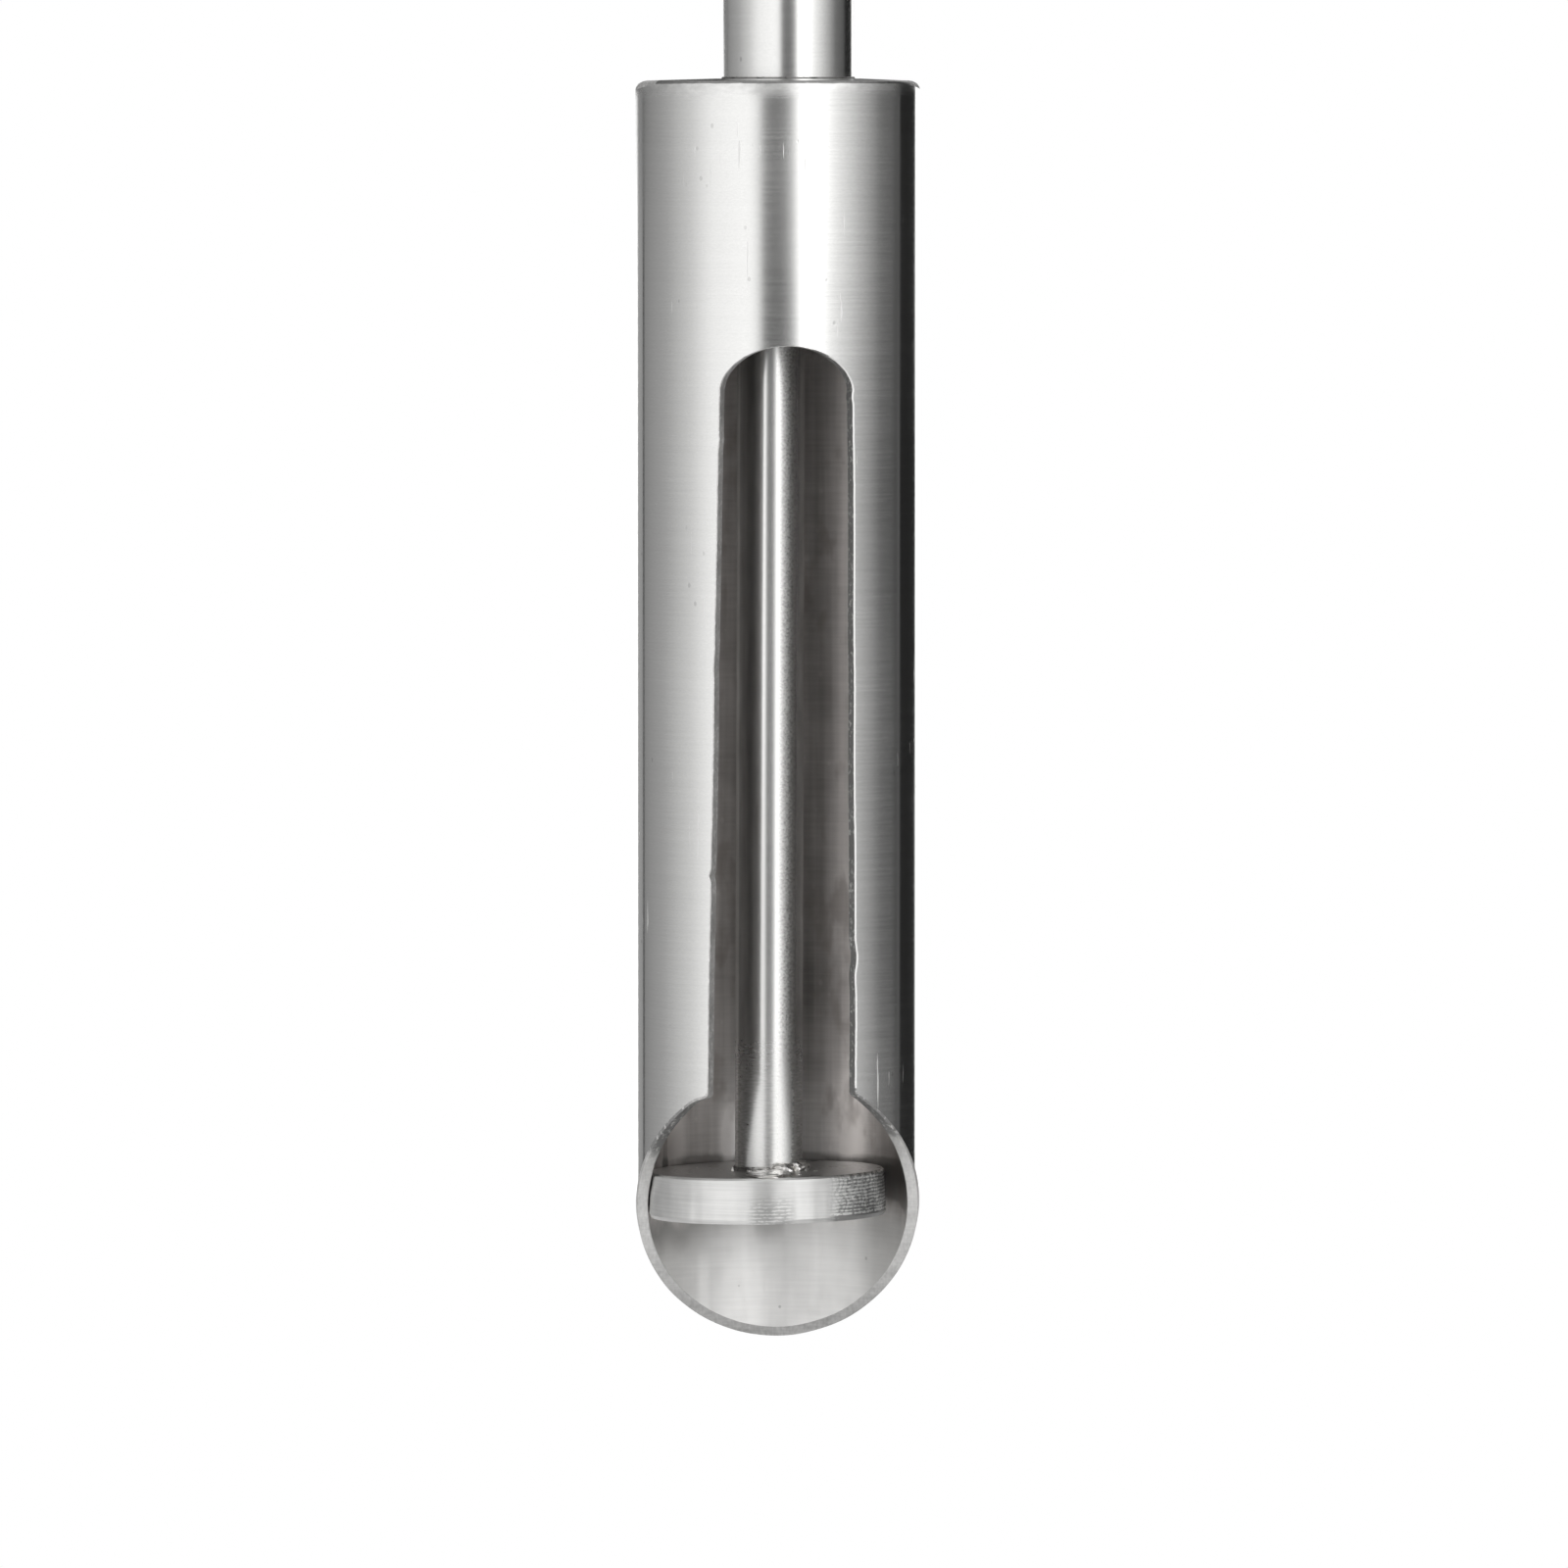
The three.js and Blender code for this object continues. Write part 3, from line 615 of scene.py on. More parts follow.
def weld_metal(name, tone, straw=0.6, roughness=0.3):
    """Weld metal: glossy blobs with straw-coloured and dark patches."""
    straw_colour = (0.56, 0.47, 0.34, 1)

    def write(graph, place):
        patches = graph.grain(place, (420, 420, 420), 3.0)
        fine = graph.grain(place, (2300, 2300, 2300), 2.0, 4.0)
        soot = graph.step(graph.grain(place, (650, 650, 650), 2.0, 7.7), 0.55, 0.72)
        warm = graph.blend(graph.step(patches, 0.5, 0.68) * straw, shade(tone, 1.1), straw_colour)
        return {
            "Base Color": graph.blend(soot * 0.75, warm, shade(tone, 0.22)),
            "Roughness": (patches - 0.5) * 0.3 + soot * 0.25 + roughness,
            "Normal": graph.relief(patches * 2.0 + fine, 3e-5),
        }

    return finish(name, write, METAL)


def moulded_rubber(name, tone):
    """Moulded rubber: a fine grain, with dusty and shiny patches."""

    def write(graph, place):
        grain = graph.grain(place, (2600, 2600, 2600), 2.0)
        cloud = graph.grain(place, (90, 90, 90), 3.0, 2.0)
        dust = graph.step(graph.grain(place, (340, 340, 340), 3.0, 6.1), 0.55, 0.75)
        return {
            "Base Color": graph.blend(dust * 0.25 + (cloud - 0.5) * 0.4, shade(tone, 0.9), shade(tone, 2.6)),
            "Roughness": (cloud - 0.5) * 0.2 + dust * 0.08 + 0.62,
            "Normal": graph.relief(grain + dust * 0.5, 5e-5),
        }

    return finish(name, write, {"Specular IOR Level": 0.45})


def moulded_plastic(name, tone):
    """Glossy moulded plastic: a faint orange peel and hair scratches."""

    def write(graph, place):
        peel = graph.grain(place, (520, 520, 520), 2.0)
        cloud = graph.grain(place, (60, 60, 60), 3.0, 2.6)
        hair = graph.step(graph.grain(place, (240, 1900, 1900), 2.0, 5.0), 0.66, 0.7)
        return {
            "Base Color": graph.blend(cloud, shade(tone, 0.8), shade(tone, 1.5)),
            "Roughness": (cloud - 0.5) * 0.16 + hair * 0.15 + 0.27,
            "Normal": graph.relief(peel + hair * 0.3, 1.6e-5),
        }

    return finish(name, write)


def machined_nylon(name, tone):
    """Natural nylon, turned, with soiled patches."""

    def write(graph, place):
        rings = graph.grain(place, (80, 80, 3000), 2.0)
        soil = graph.step(graph.grain(place, (200, 200, 200), 3.0, 1.2), 0.5, 0.8)
        return {
            "Base Color": graph.blend(soil * 0.5, shade(tone, 1.0), shade(tone, 0.55)),
            "Roughness": (rings - 0.5) * 0.2 + soil * 0.15 + 0.45,
            "Normal": graph.relief(rings, 1.5e-5),
        }

    return finish(name, write)


# Shapes


def tree_with(name, sockets):
    """An empty geometry tree with named inputs, its inputs by name, and a function that ends it."""
    tree = bpy.data.node_groups.new(name, "GeometryNodeTree")
    for label, kind, default in sockets:
        socket = tree.interface.new_socket(label, in_out="INPUT", socket_type=kind)
        if default is not None:
            socket.default_value = default
    tree.interface.new_socket("Piece", in_out="OUTPUT", socket_type="NodeSocketGeometry")
    graph = Graph(tree)
    outputs = graph.add("NodeGroupInput").socket.node.outputs
    given = {label: Number(graph, outputs[label]) for label, _, _ in sockets}

    def end(shape):
        real = graph.add("GeometryNodeRealizeInstances", inputs={0: shape})
        smooth = graph.add("GeometryNodeSetShadeSmooth", inputs={0: real})
        coated = graph.add(
            "GeometryNodeSetMaterial", inputs={"Geometry": smooth, "Material": given["Finish"]}
        )
        graph.add("NodeGroupOutput", inputs={"Piece": coated})
        return tree

    return graph, given, end


def turning_tree():
    """Turns an outline in the XZ plane about the Z axis."""
    ring_radius = 0.01
    graph, given, end = tree_with(
        "turning",
        [
            ("Outline", "NodeSocketGeometry", None),
            ("Segments", "NodeSocketInt", 96),
            ("Finish", "NodeSocketMaterial", None),
        ],
    )
    ring = graph.add(
        "GeometryNodeCurvePrimitiveCircle", inputs={"Resolution": given["Segments"], "Radius": ring_radius}
    )
    path = graph.add("GeometryNodeSetCurveNormal", {"mode": "Z_UP"}, {"Curve": ring})
    flat = graph.add(
        "GeometryNodeTransform",
        inputs={
            "Geometry": given["Outline"],
            "Translation": (-ring_radius, 0, 0),
            "Rotation": (math.pi / 2, 0, 0),
        },
    )
    profile = graph.add("GeometryNodeMeshToCurve", inputs={"Mesh": flat})
    swept = graph.add("GeometryNodeCurveToMesh", inputs={"Curve": path, "Profile Curve": profile})
    outward = graph.add("GeometryNodeFlipFaces", inputs={"Mesh": swept})
    return end(graph.add("GeometryNodeMergeByDistance", inputs={"Geometry": outward, "Distance": SAME_PLACE}))


def repeat_tree():
    """Repeats a shape along Z."""
    graph, given, end = tree_with(
        "ribs",
        [
            ("Shape", "NodeSocketGeometry", None),
            ("Count", "NodeSocketInt", 9),
            ("Pitch", "NodeSocketFloat", 0.0087),
            ("Finish", "NodeSocketMaterial", None),
        ],
    )
    offset = graph.add("ShaderNodeCombineXYZ", inputs={2: given["Pitch"]})
    line = graph.add("GeometryNodeMeshLine", inputs={"Count": given["Count"], "Offset": offset})
    return end(graph.add("GeometryNodeInstanceOnPoints", inputs={"Points": line, "Instance": given["Shape"]}))


def bead_tree():
    """A weld bead along a path: a core with overlapping drops of uneven size."""
    core_share = 0.86
    shortest, longest = 0.73, 1.27
    graph, given, end = tree_with(
        "weld bead",
        [
            ("Path", "NodeSocketGeometry", None),
            ("Drops", "NodeSocketInt", 30),
            ("Radius", "NodeSocketFloat", 0.001),
            ("Unevenness", "NodeSocketFloat", 0.2),
            ("Stretch", "NodeSocketFloat", 0.75),
            ("Seed", "NodeSocketInt", 1),
            ("Finish", "NodeSocketMaterial", None),
        ],
    )
    path = graph.add("GeometryNodeMeshToCurve", inputs={"Mesh": given["Path"]})
    circle = graph.add(
        "GeometryNodeCurvePrimitiveCircle", inputs={"Resolution": 10, "Radius": given["Radius"] * core_share}
    )
    core = graph.add("GeometryNodeCurveToMesh", inputs={"Curve": path, "Profile Curve": circle})
    spaced = graph.add("GeometryNodeResampleCurve", inputs={"Curve": path, "Count": given["Drops"]})
    drop = graph.add("GeometryNodeMeshIcoSphere", inputs={"Radius": given["Radius"], "Subdivisions": 3})
    tangent = graph.add("GeometryNodeInputTangent")
    facing = graph.add("FunctionNodeAlignRotationToVector", inputs={"Vector": tangent})
    least, most = (
        graph.add("ShaderNodeCombineXYZ", inputs={0: across, 1: across, 2: given["Stretch"] * along})
        for across, along in ((1 - given["Unevenness"], shortest), (1 + given["Unevenness"], longest))
    )
    swell = graph.add(
        "FunctionNodeRandomValue", {"data_type": "FLOAT_VECTOR"}, {0: least, 1: most, "Seed": given["Seed"]}
    )
    drops = graph.add(
        "GeometryNodeInstanceOnPoints",
        inputs={"Points": spaced, "Instance": drop, "Rotation": facing, "Scale": swell},
    )
    return end(graph.add("GeometryNodeJoinGeometry", inputs={0: [core, drops]}))


def shown(name, data):
    """A new object in the scene."""
    made = bpy.data.objects.new(name, data)
    bpy.context.scene.collection.objects.link(made)
    return made


def grown(tree, mesh, **inputs):
    """The plain mesh that a geometry tree makes of a mesh."""
    source = shown("source", mesh)
    modifier = source.modifiers.new("tree", "NODES")
    modifier.node_group = tree
    for item in tree.interface.items_tree:
        if item.in_out == "INPUT" and item.name in inputs:
            modifier[item.identifier] = inputs[item.name]
    evaluated = source.evaluated_get(bpy.context.evaluated_depsgraph_get())
    made = bpy.data.meshes.new_from_object(evaluated)
    source.modifiers.remove(modifier)
    bpy.data.objects.remove(source)
    bpy.data.meshes.remove(mesh)
    return made


def mesh_of(name, shape):
    """Writes a bmesh into a new mesh and frees it."""
    mesh = bpy.data.meshes.new(name)
    shape.to_mesh(mesh)
    shape.free()
    return mesh


def line_mesh(points, closed):
    count = len(points)
    edges = [(i, (i + 1) % count) for i in range(count if closed else count - 1)]
    mesh = bpy.data.meshes.new("line")
    mesh.from_pydata(points, edges, [])
    return mesh


def eased(outline, closed=False, steps=4):
    """Rounds each corner of an outline by its third number, with a supporting point beside each round."""
    result = []
    for i, (x, y, radius) in enumerate(outline):
        here = Vector((x, y))
        if radius == 0 or (not closed and i in (0, len(outline) - 1)):
            result.append((x, y))
            continue
        back = Vector(outline[i - 1][:2]) - here
        ahead = Vector(outline[(i + 1) % len(outline)][:2]) - here
        half = back.angle(ahead) / 2
        cut = min(radius / math.tan(half), 0.42 * back.length, 0.42 * ahead.length)
        middle = here + (back.normalized() + ahead.normalized()).normalized() * (cut / math.cos(half))
        start = here + back.normalized() * cut
        end = here + ahead.normalized() * cut
        first = math.atan2(*(start - middle).yx)
        swing = (math.atan2(*(end - middle).yx) - first + math.pi) % FULL_TURN - math.pi
        reach = (start - middle).length
        result.append(tuple(here + back.normalized() * min(1.5 * cut, 0.47 * back.length)))
        for k in range(steps + 1):
            bearing = first + swing * k / steps
            result.append((middle.x + reach * math.cos(bearing), middle.y + reach * math.sin(bearing)))
        result.append(tuple(here + ahead.normalized() * min(1.5 * cut, 0.47 * ahead.length)))
    return result


def turned(outline, material, segments=96):
    """A piece turned about Z from an outline of (radius, height, rounding), anticlockwise.

    An outline that stays clear of the axis is closed to a ring.
    """
    closed = min(point[0] for point in outline) > 0
    points = [(radius, 0, height) for radius, height in eased(outline, closed)]
    tree = bpy.data.node_groups.get("turning") or turning_tree()
    mesh = grown(tree, line_mesh(points, closed), Segments=segments, Finish=material)
    mesh.set_sharp_from_angle(angle=math.radians(34))
    return mesh


def shaped_ring(outline_at, segments, material):
    """A closed ring about Z whose outline of (radius, height, middle) changes with the turn."""
    points, faces = [], []
    count = len(outline_at(0))
    for i in range(segments):
        turn = FULL_TURN * i / segments
        for radius, height, middle in outline_at(turn):
            points.append((middle + radius * math.sin(turn), -radius * math.cos(turn), height))
        here, after = i * count, (i + 1) % segments * count
        for j in range(count):
            k = (j + 1) % count
            faces.append((here + j, after + j, after + k, here + k))
    mesh = bpy.data.meshes.new("ring")
    mesh.from_pydata(points, [], faces)
    mesh.materials.append(material)
    mesh.shade_smooth()
    mesh.set_sharp_from_angle(angle=math.radians(40))
    return mesh


def joined(*meshes):
    """Several meshes as one, each with its own materials."""
    shape = bmesh.new()
    materials = []
    for mesh in meshes:
        before = len(shape.faces)
        shape.from_mesh(mesh)
        shape.faces.ensure_lookup_table()
        for face in shape.faces[before:]:
            face.material_index += len(materials)
        materials += list(mesh.materials)
    made = mesh_of("joined", shape)
    for material in materials:
        made.materials.append(material)
    return made


def placed(mesh, matrix):
    mesh.transform(matrix)
    return mesh


def piece(name, mesh, body, slot, *nodes):
    """Adds a finished mesh to the scene as a piece that rides on a body and stands for CAD nodes."""
    made = shown(name, mesh)
    mesh.name = name
    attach(made, body)
    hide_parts(*nodes)
    return made


def leaning(ejector):
    """Where the ejector's upright pieces stand once the rod leans."""
    pivot = Matrix.Translation((-ejector.aside, 0, ejector.pivot))
    return pivot @ Matrix.Rotation(ejector.lean, 4, "Y") @ Matrix.Translation((0, 0, -ejector.pivot))


def tilted(ejector):
    """Where the piston sits, askew on the leaning rod."""
    middle = Matrix.Translation((0, 0, ejector.piston_low + ejector.piston_thickness / 2))
    return leaning(ejector) @ middle @ Matrix.Rotation(-ejector.tilt, 4, "Y") @ middle.inverted()


def along_bar(handle, side, start):
    """Turns +Z outwards along the crossbar, towards side 1 or -1."""
    place = Matrix.Translation((side * start, 0, handle.height))
    return place @ Matrix.Rotation(side * math.pi / 2, 4, "Y")


# Barrel


CLOSER = 1.3  # how much closer together the points of an edge stand towards its corners


def bevel_share(barrel, turn):
    """The bevel is full at the tip and fades towards the front."""
    return barrel.least_bevel + (1 - barrel.least_bevel) * ((1 - math.cos(turn)) / 2) ** 1.5


def mouth_height(barrel, radius, turn):
    """Height of the slanted mouth, with its lip at the window's left foot."""
    tip = barrel.radius - barrel.bevel_depth
    corner = -math.asin(barrel.width_low / 2 / barrel.radius)
    lip_width = 0.075
    lip = barrel.lip * math.exp(-(((turn - corner) / lip_width) ** 2))
    return math.tan(barrel.mouth_slope) * (tip + radius * math.cos(turn + barrel.mouth_turn)) - lip


def mouth_edge(barrel, turn):
    """Height of the skin's edge, drop and depth of the bevel, and rise of the bore's edge at the mouth."""
    part = bevel_share(barrel, turn)
    edge_radius = barrel.radius - barrel.bevel_depth * part
    edge = mouth_height(barrel, edge_radius, turn)
    bore = barrel.radius - barrel.wall
    inner = edge if math.cos(turn + barrel.mouth_turn) > 0 else mouth_height(barrel, bore, turn)
    drop = barrel.bevel_rise * part
    return edge + drop, drop, barrel.bevel_depth * part, inner - edge


def side_line(barrel, low, high):
    """A side of the window as (turn, height), from the mouth up to the arch, its points closer below."""
    halvings, steps = 30, 200

    def at(part):
        return low[0] + (high[0] - low[0]) * part, low[1] + (high[1] - low[1]) * part

    below, above = 0.0, 1.0
    for _ in range(halvings):
        middle = (below + above) / 2
        turn, height = at(middle)
        if height > mouth_edge(barrel, turn)[0]:
            above = middle
        else:
            below = middle
    return [at(above + (1 - above) * (k / steps) ** CLOSER) for k in range(steps + 1)]


def window_line(barrel):
    """The window's edge as (turn, height), from its left foot over the arch to its right foot."""
    arch_steps = 56

    def turn_at(x):
        return math.asin(x / barrel.radius)

    bore = barrel.radius - barrel.wall
    spring = barrel.window_top - barrel.arch_rise
    foot = mouth_height(barrel, bore, turn_at(barrel.width_low / 2)) - 0.003
    arch = []
    for i in range(arch_steps + 1):
        bearing = math.pi * (1 - i / arch_steps)
        x = barrel.shift_high + barrel.width_high / 2 * math.cos(bearing)
        arch.append((turn_at(x), spring + barrel.arch_rise * math.sin(bearing)))
    feet = [(turn_at(barrel.shift_low + side * barrel.width_low / 2), foot) for side in (-1, 1)]
    left = side_line(barrel, feet[0], arch[0])
    right = side_line(barrel, feet[1], arch[-1])
    return left[:-1] + arch + right[-2::-1]


# Where the file slipped or left a burr on the window's edge: side, height, depth into the metal, half length
SLIPS = (
    (-1, 0.0711, 0.00034, 0.0006),
    (-1, 0.1352, -0.00016, 0.0006),
    (1, 0.1415, -0.0002, 0.0007),
    (1, 0.0592, 0.0003, 0.0016),
    (1, 0.0560, -0.00012, 0.0012),
    (-1, 0.1015, 0.0001, 0.0012),
)


def cut_wander(barrel, side, along, height):
    """How far a hand-cut edge strays into the metal."""
    slow = noise.noise(Vector((along * 70, side * 3.7, 0.3)))
    quick = noise.noise(Vector((along * 620, side * 9.1, 4.2)))
    burr = noise.noise(Vector((along * 2400, side * 5.3, 8.8)))
    stray = barrel.wander * (1.5 * slow + 0.45 * quick + 0.3 * burr)
    for slip_side, at, depth, width in SLIPS:
        if slip_side == side:
            stray += depth * math.exp(-(((height - at) / width) ** 2))
    return stray


EDGE_ROWS = 11
FILED_ROWS = 4
SKIN, BORE, CUT = range(3)


def edge_material(row, filed):
    """Round the cut edge, the first row is skin, and where it was filed some more; the last row is bore."""
    if row == 0 or (filed and row < FILED_ROWS):
        return SKIN
    return BORE if row == EDGE_ROWS - 2 else CUT


class BarrelEdge:
    """The lower edge of the barrel and the window's edge as one line, on the skin laid flat."""

    def __init__(self, barrel):
        window = window_line(barrel)
        steps = 96
        closer = [(k / steps) ** CLOSER for k in range(steps, 0, -1)]
        left = [window[0][0] - (window[0][0] + math.pi) * part for part in closer]
        right = [window[-1][0] + (math.pi - window[-1][0]) * part for part in reversed(closer)]
        mouth = {turn: mouth_edge(barrel, turn) for turn in left + right}
        self.points = []
        self.details = []
        for turn in left:
            self.append(barrel, turn, mouth[turn])
        for turn, height in window:
            self.append(barrel, turn, (height, 0.0, 0.0, 0.0))
        for turn in right:
            self.append(barrel, turn, mouth[turn])
        self.round_corners((steps, steps + len(window) - 1), reach=1, times=2)
        self.find_inward()
        self.stray(barrel, steps, len(window))
        self.find_inward()
        self.rounds = [self.round_at(barrel, point) for point in self.points]

    def append(self, barrel, turn, edge):
        self.points.append(Vector((turn * barrel.radius, edge[0])))
        self.details.append(Vector(edge[1:]))

    def round_corners(self, corners, reach, times):
        """Averages the points next to where the window meets the mouth."""
        for _ in range(times):
            for corner in corners:
                for values in (self.points, self.details):
                    near = range(corner - reach, corner + reach + 1)
                    eased_values = [(values[i - 1] + 2 * values[i] + values[i + 1]) / 4 for i in near]
                    for i, value in zip(near, eased_values):
                        values[i] = value

    def find_inward(self):
        """At each point, the way from the edge into the metal."""
        last = len(self.points) - 1
        self.inward = [Vector((0, 1))]
        for i in range(1, last):
            along = (self.points[i + 1] - self.points[i - 1]).normalized()
            self.inward.append(Vector((-along.y, along.x)))
        self.inward.append(Vector((0, 1)))

    def stray(self, barrel, start, count):
        """The window's edge wanders as it was cut, and the mouth's edge a little, but not at the seam."""
        mouth_wander, still = 0.00007, 6
        along = 0.0
        last = len(self.points) - 1
        for i in range(1, last):
            point = self.points[i]
            along += (point - self.points[i - 1]).length
            if start <= i < start + count:
                side = -1 if point.x < barrel.shift_high else 1
                offset = cut_wander(barrel, side, along, point.y)
            else:
                rough = noise.noise(Vector((along * 160, 2.5, 6.0)))
                offset = mouth_wander * rough * min(1, i / still, (last - i) / still)
            self.points[i] = point + self.inward[i] * offset

    @staticmethod
    def round_at(barrel, point):
        """The window's right edge was filed over, from the arch down to the mouth."""
        fade, rise = 0.2 * barrel.width_high, 0.0012
        above_mouth = point.y - mouth_edge(barrel, point.x / barrel.radius)[0]
        part = min(1, max(0, (point.x - fade) / fade)) * min(1, max(0, above_mouth / rise))
        return barrel.edge_round + (barrel.filed_round - barrel.edge_round) * part

    def rows(self, barrel):
        """Rows of (turn, radius, height) from the skin, round the cut edge, to the bore."""

        def between(first, second, part):
            return first[0].lerp(second[0], part), first[1] + (second[1] - first[1]) * part

        skin, bore, small = barrel.radius, barrel.radius - barrel.wall, barrel.edge_round
        rows = [[] for _ in range(EDGE_ROWS)]
        for point, inward, wide, details in zip(self.points, self.inward, self.rounds, self.details):
            drop, depth, rise = details
            rim = point + inward * wide
            edge = point - Vector((0, drop))
            inner = edge + Vector((0, rise))
            low, high = (rim, skin), (edge, skin - max(depth, wide))
            end = (inner, bore + 0.8 * small)
            last = (inner + inward * 0.8 * small, bore)
            line = (
                (rim + inward * 2 * small, skin),
                low,
                between(low, high, 0.1),
                between(low, high, 0.9),
                high,
                between(high, end, 0.08),
                between(high, end, 0.93),
                end,
                between(end, last, 0.5),
                last,
                (inner + inward * 3 * small, bore),
            )
            for row, (place, radius) in zip(rows, line):
                row.append((place.x / skin, radius, place.y))
        return rows


def flat_sheet(edge, half_width, top, columns, spacing):
    """Triangles over a sheet laid flat, between its lower edge and its straight top, as (x, height)."""
    steps = 60
    clearance = 0.55 * spacing
    seam = [edge[-1][1] + (top - edge[-1][1]) * k / steps for k in range(1, steps + 1)]
    outline = [Vector(point) for point in edge]
    outline += [Vector((half_width, height)) for height in seam]
    outline += [Vector((half_width * (1 - 2 * k / columns), top)) for k in range(1, columns + 1)]
    outline += [Vector((-half_width, height)) for height in reversed(seam[:-1])]
    near = kdtree.KDTree(len(outline))
    for i, point in enumerate(outline):
        near.insert((*point, 0), i)
    near.balance()
    inside = []
    for column in range(1, columns):
        x = half_width * (2 * column / columns - 1)
        for row in range(1, int(top / spacing)):
            height = (row + 0.5 * (column % 2)) * spacing
            if near.find((x, height, 0))[2] > clearance:
                inside.append(Vector((x, height)))
    border = [list(range(len(outline)))]
    points, _, faces, *_ = delaunay_2d_cdt(outline + inside, [], border, 1, 1e-9)
    return points, faces


def round_normals(mesh, outer_radius, inner_radius):
    """Gives skin and bore the normals of true cylinders, and leaves the cut edges their own."""
    normals = []
    for vertex in mesh.vertices:
        away = Vector((vertex.co.x, vertex.co.y, 0))
        on_skin = abs(away.length - outer_radius) < 1e-6
        on_bore = abs(away.length - inner_radius) < 1e-6
        normals.append(away.normalized() * (int(on_skin) - int(on_bore)))
    mesh.normals_split_custom_set_from_vertices(normals)


def barrel_mesh(barrel, *finishes):
    """The barrel's wall: skin and bore wrapped from flat sheets, joined round the cut edges."""
    columns, spacing = 120, 0.0026
    inner_radius = barrel.radius - barrel.wall
    line = BarrelEdge(barrel)
    rows = line.rows(barrel)
    filed = [wide > 1.5 * barrel.edge_round for wide in line.rounds]
    points, faces, materials = [], [], []

    def wrap(turn, radius, height):
        return (radius * math.sin(turn), -radius * math.cos(turn), height)

    def add(where, shapes, indices):
        start = len(points)
        points.extend(where)
        faces.extend(tuple(start + i for i in shape) for shape in shapes)
        materials.extend(indices)

    for row, radius, material in ((rows[0], barrel.radius, SKIN), (rows[-1], inner_radius, BORE)):
        edge = [(turn * barrel.radius, height) for turn, _, height in row]
        flat, shapes = flat_sheet(edge, math.pi * barrel.radius, barrel.top, columns, spacing)
        first = [flat[i] for i in shapes[0][:3]]
        leftward = (first[1] - first[0]).cross(first[2] - first[0]) > 0
        if leftward == (material == BORE):
            shapes = [tuple(reversed(shape)) for shape in shapes]
        add([wrap(p.x / barrel.radius, radius, p.y) for p in flat], shapes, [material] * len(shapes))
    for k, (low, high) in enumerate(zip(rows, rows[1:])):
        count = len(low)
        strip = [wrap(*value) for value in low] + [wrap(*value) for value in high]
        quads = [(i, count + i, count + i + 1, i + 1) for i in range(count - 1)]
        add(strip, quads, [edge_material(k, filed[i]) for i in range(count - 1)])
    turns = [FULL_TURN * k / columns - math.pi for k in range(columns + 1)]
    rim = [wrap(turn, radius, barrel.top) for radius in (barrel.radius, inner_radius) for turn in turns]
    add(rim, [(i, i + 1, columns + 2 + i, columns + 1 + i) for i in range(columns)], [CUT] * columns)

    loose = bpy.data.meshes.new("loose")
    loose.from_pydata(points, [], faces)
    loose.polygons.foreach_set("material_index", materials)
    shape = bmesh.new()
    shape.from_mesh(loose)
    bpy.data.meshes.remove(loose)
    bmesh.ops.remove_doubles(shape, verts=shape.verts, dist=SAME_PLACE)
    mesh = mesh_of("barrel", shape)
    for material in finishes:
        mesh.materials.append(material)
    mesh.shade_smooth()
    round_normals(mesh, barrel.radius, inner_radius)
    return mesh


# Shoulder


# Where the corner was ground blunter: turn, half width, share
BLUNTED = ((1.5 * math.pi, 0.4, 1.0), (0.5 * math.pi, 0.35, 0.9))


def blunted(turn):
    return sum(share * math.exp(-(((turn - middle) / width) ** 2)) for middle, width, share in BLUNTED)


def corner_weld_mesh(barrel, shoulder, skin, ground, cut):
    """The weld round the top of the barrel, ground flush with the skin and blunted at its sides."""
    segments, flush_faces = 240, 4
    outer = barrel.radius
    low = barrel.top - 0.0001
    top = shoulder.shoulder - shoulder.droop

    def outline_at(turn):
        blunt = blunted(turn)
        rough = noise.noise(Vector((math.sin(turn) * 5, math.cos(turn) * 5, 1.0)))
        fine = noise.noise(Vector((math.sin(turn) * 26, math.cos(turn) * 26, 5.0)))
        drop = 0.00042 + 0.00100 * blunt + 0.00010 * rough + 0.00007 * fine
        inset = 0.0004 + 0.0015 * blunt + 0.0001 * fine
        inner = shoulder.cap_radius - 0.0007 + 0.00025 * rough
        outline = [(outer - 0.0012, low), (outer, low), (outer, low + 0.0002)]
        outline += [(outer, top - drop - 0.00012), (outer - 0.00001, top - drop)]
        for bearing in (0.25, 0.7, 1.15):
            outline.append((outer - inset * (1 - math.cos(bearing)), top - drop * (1 - math.sin(bearing))))
        outline += [(outer - inset, top), (inner + 0.0003, top), (inner, top - 0.00008)]
        outline.append((inner - 0.0004, top - 0.0004))
        return [(radius, height, 0) for radius, height in outline]

    mesh = shaped_ring(outline_at, segments, skin)
    mesh.materials.append(ground)
    mesh.materials.append(cut)
    count = len(outline_at(0))
    # Past the flush faces, the rounding and top take the painted-dark ground steel, or the cut steel where
    # blunted
    for i, face in enumerate(mesh.polygons):
        ring, along = divmod(i, count)
        if along >= flush_faces:
            face.material_index = 2 if blunted(FULL_TURN * ring / segments) > 0.2 else 1
    return mesh


def cap_mesh(barrel, shoulder, material):
    """The cap follows the barrel, and the hole in it follows the shaft."""
    hole = shoulder.shaft_radius + 0.0002
    low, high, wide = shoulder.cap_low, shoulder.shoulder, shoulder.cap_radius
    outline = [(hole + 0.0009, high, barrel.aside), (hole, high - 0.0009, barrel.aside)]
    outline += [(hole, low + 0.0004, barrel.aside), (hole + 0.0004, low, barrel.aside)]
    outline += [(wide - 0.0005, low, 0), (wide, low + 0.0005, 0), (wide, high - shoulder.droop, 0)]
    return shaped_ring(lambda turn: outline, 144, material)


